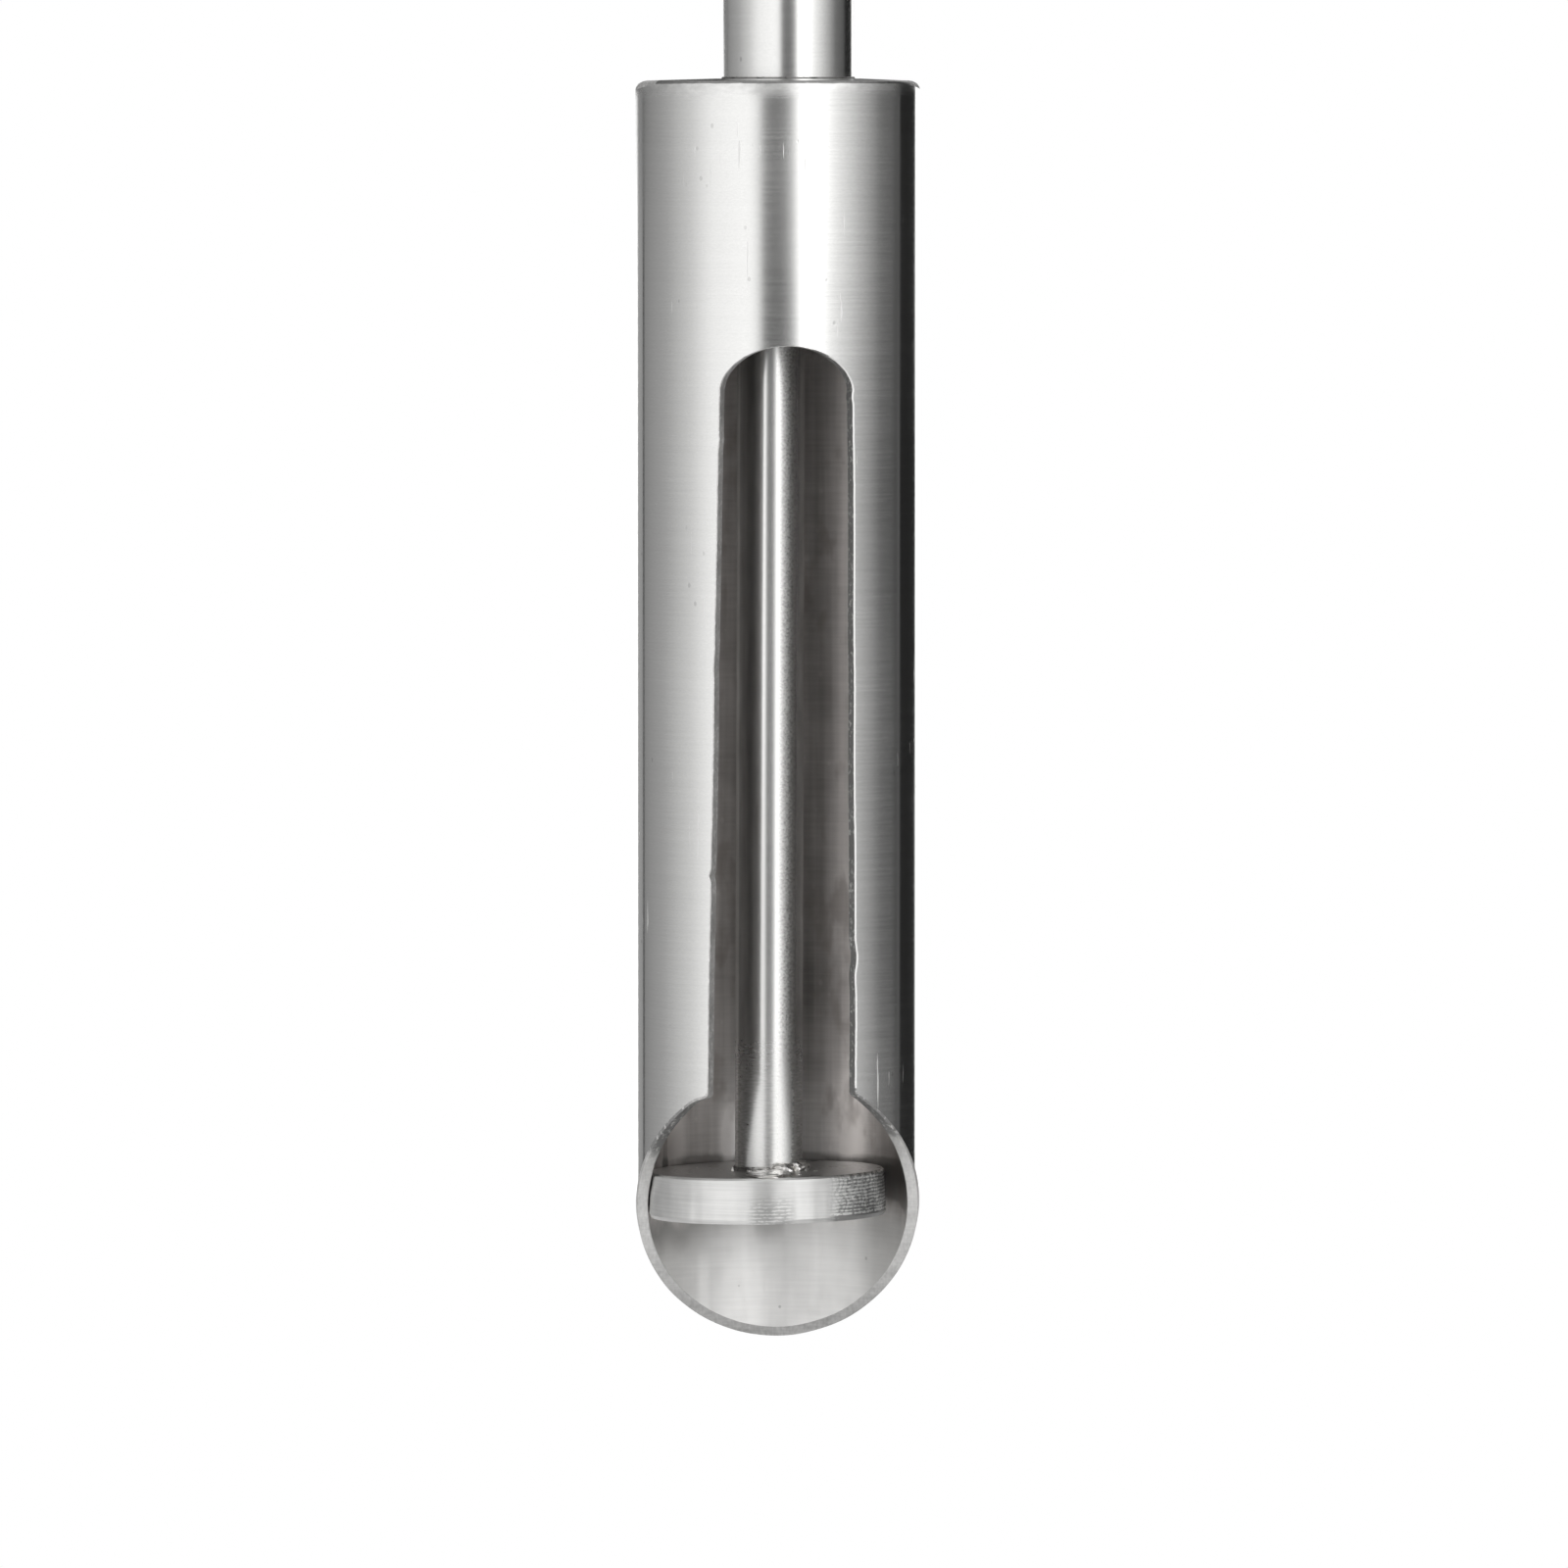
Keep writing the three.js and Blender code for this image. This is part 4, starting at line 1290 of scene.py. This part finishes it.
def ring_path(radius, height, count=72, saddle=0.0, side=1):
    """A ring of points about Z. With a saddle radius it follows the top or bottom of a bar along X."""
    points = []
    for k in range(count):
        turn = FULL_TURN * k / count
        x, y = radius * math.sin(turn), -radius * math.cos(turn)
        rise = side * math.sqrt(saddle * saddle - y * y) if saddle else 0.0
        points.append((x, y, height + rise))
    return points


def weld_bead(points, material, **values):
    """A closed weld bead along a ring of points, with the bead tree's inputs by name."""
    tree = bpy.data.node_groups.get("weld bead") or bead_tree()
    return grown(tree, line_mesh(points, True), Finish=material, **values)


# Operators


MATERIALS = {}


def recipes(colours, barrel, ejector):
    """What writes each finish, and with what."""
    middle = leaning(ejector) @ Vector((0, 0, ejector.piston_low + ejector.piston_thickness / 2))
    # Ground steel of the corner weld, painted dark: a painted shade on its rounded corner and top
    shaded_ground = [0.42 * part for part in colours.ground]
    # Weld painted dark: soot, and a painted shade round the foot of the rod
    soot_and_shade_tone = [0.35 * part for part in colours.weld]
    bright_weld = [1.15 * part for part in colours.weld]
    wall_look = {"rubbed_from": 0.1848, "flanks": (0.0162, -barrel.aside)}
    disc = {"middle": middle, "radius": ejector.piston_radius, "tilt": ejector.tilt}
    cap = {"middle": (0, 0, 0), "radius": 0.03}
    along_x = {"around": (2400, 110, 110), "clouds": (26, 38, 38)}
    return {
        "barrel_skin": (polished_steel, colours.steel, {"roughness": 0.2, **wall_look}),
        "barrel_bore": (bore_steel, colours.bore, {"clean_tone": colours.ground}),
        "cut_edge": (cut_steel, colours.ground, {}),
        "tube_steel": (polished_steel, colours.steel, {"roughness": 0.19, "around": (110, 110, 2400)}),
        "bar_steel": (polished_steel, colours.steel, {"roughness": 0.19, **along_x}),
        "rod_steel": (rod_steel, colours.steel, {"ejector": ejector}),
        "piston_steel": (turned_steel, colours.steel, disc),
        "cap_steel": (turned_steel, colours.steel, cap),
        "corner_weld": (ground_steel, shaded_ground, {"roughness": 0.42}),
        "weld": (weld_metal, colours.weld, {}),
        "sooty_weld": (weld_metal, soot_and_shade_tone, {"straw": 0.0, "roughness": 0.42}),
        "piston_weld": (weld_metal, bright_weld, {"straw": 0.1, "roughness": 0.26}),
        "zinc": (ground_steel, colours.zinc, {"roughness": 0.34}),
        "brass": (polished_steel, colours.brass, {"roughness": 0.3}),
        "rubber": (moulded_rubber, colours.rubber, {}),
        "plastic": (moulded_plastic, colours.plastic, {}),
        "nylon": (machined_nylon, colours.nylon, {}),
    }


def finished(name):
    """The material of that name, made when it is first asked for."""
    if name not in MATERIALS:
        scene = bpy.context.scene
        write, tone, values = recipes(scene.probe_colours, scene.probe_barrel, scene.probe_ejector)[name]
        MATERIALS[name] = write(name, tone, **values)
    return MATERIALS[name]


class PROBE_OT_barrel(Operator):
    """Sample barrel with its window and slanted mouth"""

    bl_idname = "probe.barrel"
    bl_label = "Sample barrel"

    def execute(self, context):
        barrel = context.scene.probe_barrel
        steels = [finished(name) for name in ("barrel_skin", "barrel_bore", "cut_edge")]
        mesh = placed(barrel_mesh(barrel, *steels), Matrix.Translation((-barrel.aside, 0, 0)))
        piece("barrel", mesh, "frame", "brushed_stainless", "sample_barrel")
        return {"FINISHED"}


class PROBE_OT_shoulder(Operator):
    """Shoulder cap, the ground weld round it and the weld at the foot of the shaft"""

    bl_idname = "probe.shoulder"
    bl_label = "Shoulder"

    def execute(self, context):
        barrel, shoulder = context.scene.probe_barrel, context.scene.probe_shoulder
        place = Matrix.Translation((-barrel.aside, 0, 0))
        cap = placed(cap_mesh(barrel, shoulder, finished("cap_steel")), place)
        piece("cap", cap, "frame", "turned_stainless", "shoulder_cap")
        steels = [finished(name) for name in ("barrel_skin", "corner_weld", "cut_edge")]
        weld = corner_weld_mesh(barrel, shoulder, *steels)
        piece("corner_weld", placed(weld, place), "frame", "ground_weld", "shoulder_weld")
        path = ring_path(shoulder.shaft_radius + 0.00005, shoulder.shoulder + 0.00005)
        bead = weld_bead(path, finished("sooty_weld"), Drops=60, Radius=shoulder.foot_bead, Seed=3)
        piece("foot_weld", bead, "frame", "weld_bead", "shaft_weld")
        return {"FINISHED"}


class PROBE_OT_shaft(Operator):
    """Shaft tube and the guide bush in its upper end"""

    bl_idname = "probe.shaft"
    bl_label = "Shaft"

    def execute(self, context):
        shoulder = context.scene.probe_shoulder
        bore = shoulder.shaft_radius - shoulder.shaft_wall
        tube = [
            (bore, shoulder.cap_low, 0.0003),
            (shoulder.shaft_radius, shoulder.cap_low, 0.0003),
            (shoulder.shaft_radius, shoulder.shaft_top, 0.0004),
            (bore, shoulder.shaft_top, 0.0003),
        ]
        piece("shaft", turned(tube, finished("tube_steel"), 128), "frame", "polished_tube", "shaft_tube")
        low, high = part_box("guide_bush")
        ejector = context.scene.probe_ejector
        hole = ejector.rod_radius + ejector.aside + 0.0002
        bush = [
            (hole, low.z, 0.0003),
            (bore - 0.0003, low.z, 0.0005),
            (bore - 0.0003, shoulder.shaft_top + 0.0002, 0.0001),
            (shoulder.shaft_radius, shoulder.shaft_top + 0.0002, 0.0003),
            (shoulder.shaft_radius, high.z, 0.0008),
            (hole, high.z, 0.0005),
        ]
        piece("bush", turned(bush, finished("nylon")), "frame", "nylon", "guide_bush")
        return {"FINISHED"}


class PROBE_OT_crossbar(Operator):
    """Crossbar of the handle and the welds where the shaft passes through it"""

    bl_idname = "probe.crossbar"
    bl_label = "Crossbar"

    def execute(self, context):
        handle, shoulder = context.scene.probe_handle, context.scene.probe_shoulder
        bore = handle.radius - handle.wall
        half = handle.length / 2
        tube = [
            (bore, -half, 0.0003),
            (handle.radius, -half, 0.0004),
            (handle.radius, half, 0.0004),
            (bore, half, 0.0003),
        ]
        bar = placed(turned(tube, finished("bar_steel"), 128), along_bar(handle, 1, 0))
        piece("cross_tube", bar, "frame", "polished_tube", "crossbar")
        reach = shoulder.shaft_radius + 0.0003
        values = {"Drops": 44, "Radius": handle.saddle_bead, "Unevenness": 0.14}
        above = ring_path(reach, handle.height, saddle=handle.radius, side=1)
        bead = weld_bead(above, finished("weld"), Seed=5, **values)
        piece("weld_above", bead, "frame", "weld_bead", "upper_saddle_weld")
        below = ring_path(reach, handle.height, saddle=handle.radius, side=-1)
        bead = weld_bead(below, finished("weld"), Seed=8, **values)
        piece("weld_below", bead, "frame", "weld_bead", "lower_saddle_weld")
        return {"FINISHED"}


SIDES = (("left", -1), ("right", 1))


class PROBE_OT_grips(Operator):
    """Ribbed rubber grips"""

    bl_idname = "probe.grips"
    bl_label = "Grips"

    def execute(self, context):
        handle = context.scene.probe_handle
        rubber = finished("rubber")
        bore, low = handle.radius + 0.0001, handle.radius + handle.rubber
        guard, width = low + handle.guard_rise, handle.guard_width
        half = handle.rib_width / 2
        rib = [
            (low - 0.0006, -half, 0.0002),
            (low - 0.0002, -half - 0.0002, 0.0002),
            (low + handle.rib_rise, -half + 0.0008, 0.0011),
            (low + handle.rib_rise, half - 0.0008, 0.0011),
            (low - 0.0002, half + 0.0002, 0.0002),
            (low - 0.0006, half, 0.0002),
        ]
        sleeve = [
            (bore, 0, 0.0003),
            (guard, 0, 0.0016),
            (guard, width, 0.0019),
            (low, width, 0.0012),
            (low, handle.grip_length, 0.0014),
            (bore, handle.grip_length, 0.0003),
        ]
        tree = repeat_tree()
        room = handle.grip_length - width
        first = width + (room - handle.rib_count * handle.rib_pitch) / 2 + handle.rib_pitch / 2
        for name, side in SIDES:
            values = {"Count": handle.rib_count, "Pitch": handle.rib_pitch, "Finish": rubber}
            ribs = grown(tree, turned(rib, rubber, 72), **values)
            sleeve_and_ribs = joined(turned(sleeve, rubber), placed(ribs, Matrix.Translation((0, 0, first))))
            mesh = placed(sleeve_and_ribs, along_bar(handle, side, handle.grip_start))
            piece("sleeve_" + name, mesh, "frame", "grip_rubber", name + "_grip")
        return {"FINISHED"}


class PROBE_OT_end_caps(Operator):
    """Domed plastic caps in the ends of the crossbar"""

    bl_idname = "probe.end_caps"
    bl_label = "End caps"

    def execute(self, context):
        handle = context.scene.probe_handle
        rim = handle.radius + handle.rubber
        gap = 0.0003
        spigot = handle.radius - handle.wall - gap
        spigot_length, spigot_wall = 0.014, 0.002
        shoulder = gap + handle.cap_lip
        steps = 12
        dome = []
        for k in range(1, steps):
            bearing = math.pi / 2 * k / steps
            dome.append((rim * math.cos(bearing), shoulder + handle.cap_dome * math.sin(bearing), 0))
        cap = [
            (0, gap, 0),
            (spigot - spigot_wall, gap, 0.0004),
            (spigot - spigot_wall, -spigot_length, 0.0003),
            (spigot, -spigot_length, 0.0005),
            (spigot, gap, 0.0002),
            (rim, gap, 0.0005),
            (rim, shoulder, 0),
            *dome,
            (0, shoulder + handle.cap_dome, 0),
        ]
        for name, side in SIDES:
            mesh = placed(turned(cap, finished("plastic")), along_bar(handle, side, handle.length / 2))
            piece("cap_" + name, mesh, "frame", "black_plastic", name + "_end_cap")
        return {"FINISHED"}


# The flat spill in front of the rod and the glossy cluster at its right: place on the piston, reach
SPILLS = (
    ((0.0002, -0.0112, 0.0), (0.0034, 0.0058, 0.0006)),
    ((0.0040, -0.0036, 0.0004), (0.0014, 0.0012, 0.0011)),
    ((0.0050, -0.0020, 0.0004), (0.0010, 0.0010, 0.0009)),
    ((0.0019, -0.0054, 0.0003), (0.0019, 0.0014, 0.0009)),
    ((-0.0016, -0.0060, 0.0001), (0.0017, 0.0013, 0.0006)),
    ((-0.0053, -0.0018, 0.0), (0.0002, 0.0003, 0.0006)),
)


def spills(ejector, top):
    """Place and reach of each spill and of the fine spatter round the weld."""
    for (across, along, rise), reach in SPILLS:
        yield (across, along, top + rise), reach
    for k in range(9):
        turn = 2.4 * k
        away = ejector.rod_radius + 0.0012 + 0.0008 * k
        drop = 0.0002 + 0.00012 * math.sin(5.0 * k)
        yield (away * math.sin(turn), -away * math.cos(turn), top), (drop, drop, 0.5 * drop)


def blob(place, reach, material):
    """A drop of weld metal, uneven and flattened."""
    shape = bmesh.new()
    bmesh.ops.create_icosphere(shape, subdivisions=4, radius=1)
    for vertex in shape.verts:
        swell = 1 + 0.35 * noise.noise(vertex.co * 1.4 + Vector(place) * 900)
        vertex.co = Vector(a * b * swell for a, b in zip(vertex.co, reach)) + Vector(place)
    mesh = mesh_of("blob", shape)
    mesh.materials.append(material)
    mesh.shade_smooth()
    return mesh


def ragged_foot(mesh, low, radius):
    """Pushes out a ragged burr round the foot of the piston."""
    height, depth = 0.0009, 0.0003
    for vertex in mesh.vertices:
        away = Vector((vertex.co.x, vertex.co.y, 0))
        if vertex.co.z < low + height and away.length > radius - depth:
            ragged = noise.noise(Vector((vertex.co.x * 900, vertex.co.y * 900, 2.0)))
            vertex.co += away.normalized() * (0.00009 + 0.00013 * ragged)


class PROBE_OT_ejector(Operator):
    """Push rod, piston and the weld between them"""

    bl_idname = "probe.ejector"
    bl_label = "Push rod and piston"

    def execute(self, context):
        ejector = context.scene.probe_ejector
        rod = [
            (0, ejector.rod_low, 0),
            (ejector.rod_radius, ejector.rod_low, 0.0003),
            (ejector.rod_radius, ejector.rod_high, 0.0008),
            (0, ejector.rod_high, 0),
        ]
        mesh = placed(turned(rod, finished("rod_steel")), leaning(ejector))
        piece("rod", mesh, "ejector", "rod_steel", "ejector_rod")
        low, high = ejector.piston_low, ejector.piston_low + ejector.piston_thickness
        radius = ejector.piston_radius
        disc = [
            (0, low, 0),
            (radius * 0.4, low, 0.003),
            (radius - 0.0003, low, 0.0001),
            (radius, low + 0.0006, 0.0001),
            (radius, high - 0.00035, 0.00012),
            (radius - 0.00035, high, 0.00012),
            (0, high, 0),
        ]
        mesh = turned(disc, finished("piston_steel"), 160)
        ragged_foot(mesh, low, radius)
        mesh = placed(mesh, tilted(ejector) @ Matrix.Translation((-ejector.piston_aside, 0, 0)))
        piece("piston_disc", mesh, "ejector", "turned_stainless", "piston")
        path = ring_path(ejector.rod_radius - 0.0003, high - 0.0002)
        values = {"Drops": 13, "Radius": ejector.weld_bead, "Unevenness": 0.2, "Stretch": 1.2, "Seed": 6}
        blobs = [blob(place, reach, finished("piston_weld")) for place, reach in spills(ejector, high)]
        # The bead's core is sooty and painted dark as the shade round the rod's foot
        bead = joined(weld_bead(path, finished("sooty_weld"), **values), *blobs)
        piece("piston_bead", placed(bead, tilted(ejector)), "ejector", "weld_bead", "piston_weld")
        return {"FINISHED"}


def nut_mesh(low, high, flats, bore, material):
    """A hexagon nut with its corners turned down to a cone above and below."""
    side = math.pi / 3
    widest = 1.147 * flats / 2

    def outline_at(turn):
        off_flat = (turn + side / 2) % side - side / 2
        wide = min(flats / 2 / math.cos(off_flat), widest)
        cone = (wide - flats / 2) * 0.75
        outline = [
            (bore, low + 0.0006),
            (bore + 0.0006, low),
            (flats / 2 - 0.0003, low),
            (flats / 2, low + 0.00008),
            (wide, low + 0.00012 + cone),
            (wide, low + 0.00045 + cone),
            (wide, high - 0.00045 - cone),
            (wide, high - 0.00012 - cone),
            (flats / 2, high - 0.00008),
            (flats / 2 - 0.0003, high),
            (bore + 0.0006, high),
            (bore, high - 0.0006),
        ]
        return [(radius, height, 0) for radius, height in outline]

    return shaped_ring(outline_at, 144, material)


def flat_ring(bore, low, thickness, radius, edges, material):
    """A flat ring about Z. Its outer edges are rounded below and above by the two numbers given."""
    high = low + thickness
    outline = [(bore, low, 0.0003), (radius, low, edges[0]), (radius, high, edges[1]), (bore, high, 0.0003)]
    return turned(outline, material)


def knob_mesh(ejector, material):
    """The palm knob: a flared neck, a round belly and a crown with a flat top, hollow for its insert."""
    gap = 0.0003
    socket = ejector.insert_radius + gap
    neck, belly, crown_flat = ejector.knob_neck, ejector.knob_radius, ejector.knob_crown
    low = ejector.knob_low
    rim = low + ejector.knob_height / 2
    top = low + ejector.knob_height
    steps = 14
    flare = []
    for k in range(1, steps):
        part = k / steps
        swell = part * part * (3 - 2 * part)
        flare.append((neck + (belly - neck) * swell, low + (rim - low) * part, 0))
    crown = []
    for k in range(steps):
        bearing = math.pi / 2 * k / steps
        reach = crown_flat + (belly - crown_flat) * math.cos(bearing)
        crown.append((reach, rim + (top - rim) * math.sin(bearing), 0))
    outline = [
        (0, low + ejector.insert_height + gap, 0),
        (socket, low + ejector.insert_height + gap, 0.0004),
        (socket, low, 0.0005),
        (neck, low, 0.0008),
        *flare,
        *crown,
        (crown_flat, top, 0),
        (0, top, 0),
    ]
    return turned(outline, material, 128)


class PROBE_OT_knob(Operator):
    """Bumper, washer, lock nut and the palm knob with its insert"""

    bl_idname = "probe.knob"
    bl_label = "Knob and stop"

    def execute(self, context):
        ejector = context.scene.probe_ejector
        lean = leaning(ejector)
        bore = ejector.rod_radius + 0.0002
        low, thickness, radius = ejector.bumper_low, ejector.bumper_thickness, ejector.bumper_radius
        stop = flat_ring(bore, low, thickness, radius, (0.0009, 0.0009), finished("rubber"))
        piece("stop_ring", placed(stop, lean), "slider", "bumper_rubber", "bumper")
        low, thickness, radius = ejector.washer_low, ejector.washer_thickness, ejector.washer_radius
        washer = flat_ring(bore, low, thickness, radius, (0.0002, 0.0005), finished("zinc"))
        piece("flat_washer", placed(washer, lean), "ejector", "zinc_hardware", "washer")
        low, high = ejector.nut_low, ejector.nut_low + ejector.nut_thickness
        nut = nut_mesh(low, high, ejector.nut_flats, bore, finished("zinc"))
        piece("hex_nut", placed(nut, lean), "ejector", "zinc_hardware", "lock_nut")
        low, thickness, radius = ejector.knob_low, ejector.insert_height, ejector.insert_radius
        insert = flat_ring(bore, low, thickness, radius, (0.0004, 0.0002), finished("brass"))
        piece("insert", placed(insert, lean), "ejector", "brass", "knob_insert")
        knob = knob_mesh(ejector, finished("plastic"))
        piece("palm_grip", placed(knob, lean), "ejector", "black_plastic", "palm_knob")
        return {"FINISHED"}


# Studio

# Brightness of the studio's walls by bearing in degrees, seen from the probe: 0 is behind the camera, 90 to
# its right
WALLS = (
    (-180, 1.45),
    (-159.5, 1.45),
    (-158.5, 0.38),
    (-143, 0.34),
    (-141.5, 0.08),
    (-139.5, 0.08),
    (-138, 0.28),
    (-100, 0.46),
    (-75, 0.75),
    (-55, 1.15),
    (-20, 1.35),
    (-14.5, 1.05),
    (-11, 0.175),
    (3, 0.16),
    (10, 0.34),
    (14, 0.60),
    (18, 1.35),
    (22, 1.80),
    (33, 1.50),
    (42, 1.00),
    (50, 0.79),
    (60, 0.63),
    (70, 0.44),
    (80, 0.30),
    (92, 0.13),
    (113, 0.085),
    (116.5, 0.14),
    (118.5, 0.022),
    (136, 0.022),
    (149, 0.03),
    (150.5, 1.45),
    (180, 1.45),
)
BRIGHTEST_WALL = 2.4
WHITE = (1, 1, 1, 1)

# The boards behind the probe: how far their middle is turned, where they end, and how high they reach
BOARDS_TURNED = 10
BOARD_ENDS = (158, 161)
BOARD_TOP = 0.19

# Above the boards' top the walls at the right are brighter, from one pair of bearings to the other
BRIGHTER_FROM = (8, 14)
BRIGHTER_TO = (116, 110)


def radians(*degrees):
    return tuple(math.radians(value) for value in degrees)


def wall_light(graph, turned_by):
    """Brightness of the walls at each bearing, from the place on the wall or the floor."""
    across, along, height = graph.axes(graph.place())
    bearing = graph.turn(across, along) + turned_by
    stops = [((degrees + 180) / 360, value / BRIGHTEST_WALL) for degrees, value in WALLS]
    ramp = graph.add("ShaderNodeValToRGB", {"stops": stops}, {"Fac": bearing / FULL_TURN + 0.5})
    over = graph.step(height, BOARD_TOP, BOARD_TOP + 0.02)
    away = (bearing - math.radians(BOARDS_TURNED)).size()
    behind = graph.step(away, *radians(*BOARD_ENDS))
    right = graph.band(bearing, radians(*BRIGHTER_FROM), radians(*BRIGHTER_TO))
    level = (1 - behind * over * 0.97) * (1 + right * over * 0.8)
    return graph.add("ShaderNodeSeparateColor", inputs={0: ramp}) * BRIGHTEST_WALL * level


def unlit_material(name):
    """A new material that no ray looks for as a lamp, and its emptied node tree."""
    material = bpy.data.materials.new(name)
    material.cycles.emission_sampling = "NONE"
    return material, blank_graph(material)


def stage_piece(name, shape, rise, material):
    """Adds a part of the studio, raised to its height."""
    mesh = mesh_of(name, shape)
    mesh.transform(Matrix.Translation((0, 0, rise)))
    mesh.materials.append(material)
    made = shown(name, mesh)
    return made


def seen_directly(graph):
    """1 for what the camera, gloss and glass see, 0 for light that only falls on things."""
    path = graph.add("ShaderNodeLightPath", output="Is Camera Ray")
    outputs = path.socket.node.outputs
    gloss, glass = (Number(graph, outputs[name]) for name in ("Is Glossy Ray", "Is Transmission Ray"))
    return path.larger(gloss).larger(glass), gloss


class PROBE_OT_studio(Operator):
    """Camera, pale floor, studio walls that only gloss sees, and soft light"""

    bl_idname = "probe.studio"
    bl_label = "Studio"

    def execute(self, context):
        studio = context.scene.probe_studio
        self.camera(context, studio)
        self.world(context)
        self.walls(studio)
        self.floor(studio)
        self.lamp(studio)
        context.scene.view_settings.view_transform = "Standard"
        return {"FINISHED"}

    def camera(self, context, studio):
        """A long lens in front of the window that looks a little down."""
        lens = bpy.data.cameras.new("camera")
        lens.lens = studio.lens
        lens.sensor_width = 36
        lens.clip_end = 60
        camera = shown("camera", lens)
        ahead = Vector((math.sin(studio.turned), math.cos(studio.turned), 0))
        right = Vector((ahead.y, -ahead.x, 0))
        camera.location = right * studio.aside - ahead * studio.distance + Vector((0, 0, studio.height))
        camera.rotation_euler = (math.pi / 2 - studio.pitch, 0, -studio.turned)
        context.scene.camera = camera

    def world(self, context):
        """Light from all around: full where it is seen, softer where it falls on things."""
        world = bpy.data.worlds.new("studio")
        graph = blank_graph(world)
        seen, _ = seen_directly(graph)
        light = graph.add("ShaderNodeBackground", inputs={"Color": WHITE, "Strength": seen * 0.38 + 0.62})
        graph.add("ShaderNodeOutputWorld", inputs={"Surface": light})
        context.scene.world = world

    def walls(self, studio):
        """A round wall that only gloss sees."""
        shape = bmesh.new()
        radius, height = studio.wall_radius, studio.wall_height
        bmesh.ops.create_cone(
            shape, segments=180, radius1=radius, radius2=radius, depth=height, cap_ends=False
        )
        material, graph = unlit_material("studio_walls")
        strength = wall_light(graph, studio.turned)
        light = graph.add("ShaderNodeEmission", inputs={"Color": WHITE, "Strength": strength})
        graph.add("ShaderNodeOutputMaterial", inputs={"Surface": light})
        walls = stage_piece("studio_walls", shape, studio.floor + height / 2, material)
        walls.visible_camera = False
        walls.visible_diffuse = False
        walls.visible_transmission = False
        walls.visible_shadow = False

    def floor(self, studio):
        """A pale floor: matt to light, white where it is seen from above, clear from below."""
        shape = bmesh.new()
        bmesh.ops.create_grid(shape, x_segments=8, y_segments=8, size=studio.floor_reach)
        material, graph = unlit_material("floor")
        across, along, _ = graph.axes(graph.place())
        far = graph.step((across * across + along * along) ** 0.5, 0.5, 1.6)
        wall = wall_light(graph, studio.turned)
        seen, gloss = seen_directly(graph)
        strength = 1 - gloss * 0.7 + gloss * wall * 0.7
        matt = graph.add("ShaderNodeBsdfDiffuse", inputs={"Color": (0.88, 0.88, 0.88, 1)})
        light = graph.add("ShaderNodeEmission", inputs={"Color": WHITE, "Strength": strength})
        lit = graph.add("ShaderNodeMixShader", inputs={0: seen * (far * 0.35 + 0.65), 1: matt, 2: light})
        under = graph.add("ShaderNodeNewGeometry", output="Backfacing")
        clear = graph.add("ShaderNodeBsdfTransparent")
        both = graph.add("ShaderNodeMixShader", inputs={0: under, 1: lit, 2: clear})
        graph.add("ShaderNodeOutputMaterial", inputs={"Surface": both})
        stage_piece("floor", shape, studio.floor, material)

    def lamp(self, studio):
        """A soft lamp at the upper left that gloss doesn't see."""
        light = bpy.data.lights.new("soft_light", "AREA")
        light.shape = "RECTANGLE"
        light.size = studio.lamp_size
        light.size_y = studio.lamp_size
        light.energy = studio.lamp_power
        lamp = shown("soft_light", light)
        lamp.location = (-1.2, -1.5, 1.9)
        aim = Vector((0, 0, 0.25)) - lamp.location
        lamp.rotation_euler = aim.to_track_quat("-Z", "Y").to_euler()
        lamp.visible_glossy = False


STEPS = (
    PROBE_OT_studio,
    PROBE_OT_barrel,
    PROBE_OT_shoulder,
    PROBE_OT_shaft,
    PROBE_OT_crossbar,
    PROBE_OT_grips,
    PROBE_OT_end_caps,
    PROBE_OT_ejector,
    PROBE_OT_knob,
)
SETTINGS = {
    "probe_barrel": BarrelSizes,
    "probe_shoulder": ShoulderSizes,
    "probe_handle": HandleSizes,
    "probe_ejector": EjectorSizes,
    "probe_colours": ProbeColours,
    "probe_studio": StudioSettings,
}


class PROBE_PT_panel(Panel):
    """Lists the pieces of the probe and their sizes"""

    bl_idname = "PROBE_PT_panel"
    bl_label = "Soil probe"
    bl_space_type = "VIEW_3D"
    bl_region_type = "UI"
    bl_category = "Probe"

    def draw(self, context):
        for step in STEPS:
            self.layout.operator(step.bl_idname)
        for name, group in SETTINGS.items():
            box = self.layout.box()
            box.label(text=group.__doc__)
            for key in group.__annotations__:
                box.prop(getattr(context.scene, name), key)


def register():
    for group in SETTINGS.values():
        bpy.utils.register_class(group)
    for name, group in SETTINGS.items():
        setattr(bpy.types.Scene, name, PointerProperty(type=group))
    for step in STEPS:
        bpy.utils.register_class(step)
    bpy.utils.register_class(PROBE_PT_panel)


def unregister():
    bpy.utils.unregister_class(PROBE_PT_panel)
    for step in reversed(STEPS):
        bpy.utils.unregister_class(step)
    for name, group in SETTINGS.items():
        delattr(bpy.types.Scene, name)
        bpy.utils.unregister_class(group)


def main():
    register()
    for step in STEPS:
        group, name = step.bl_idname.split(".")
        getattr(getattr(bpy.ops, group), name)()


if __name__ == "__main__":
    main()
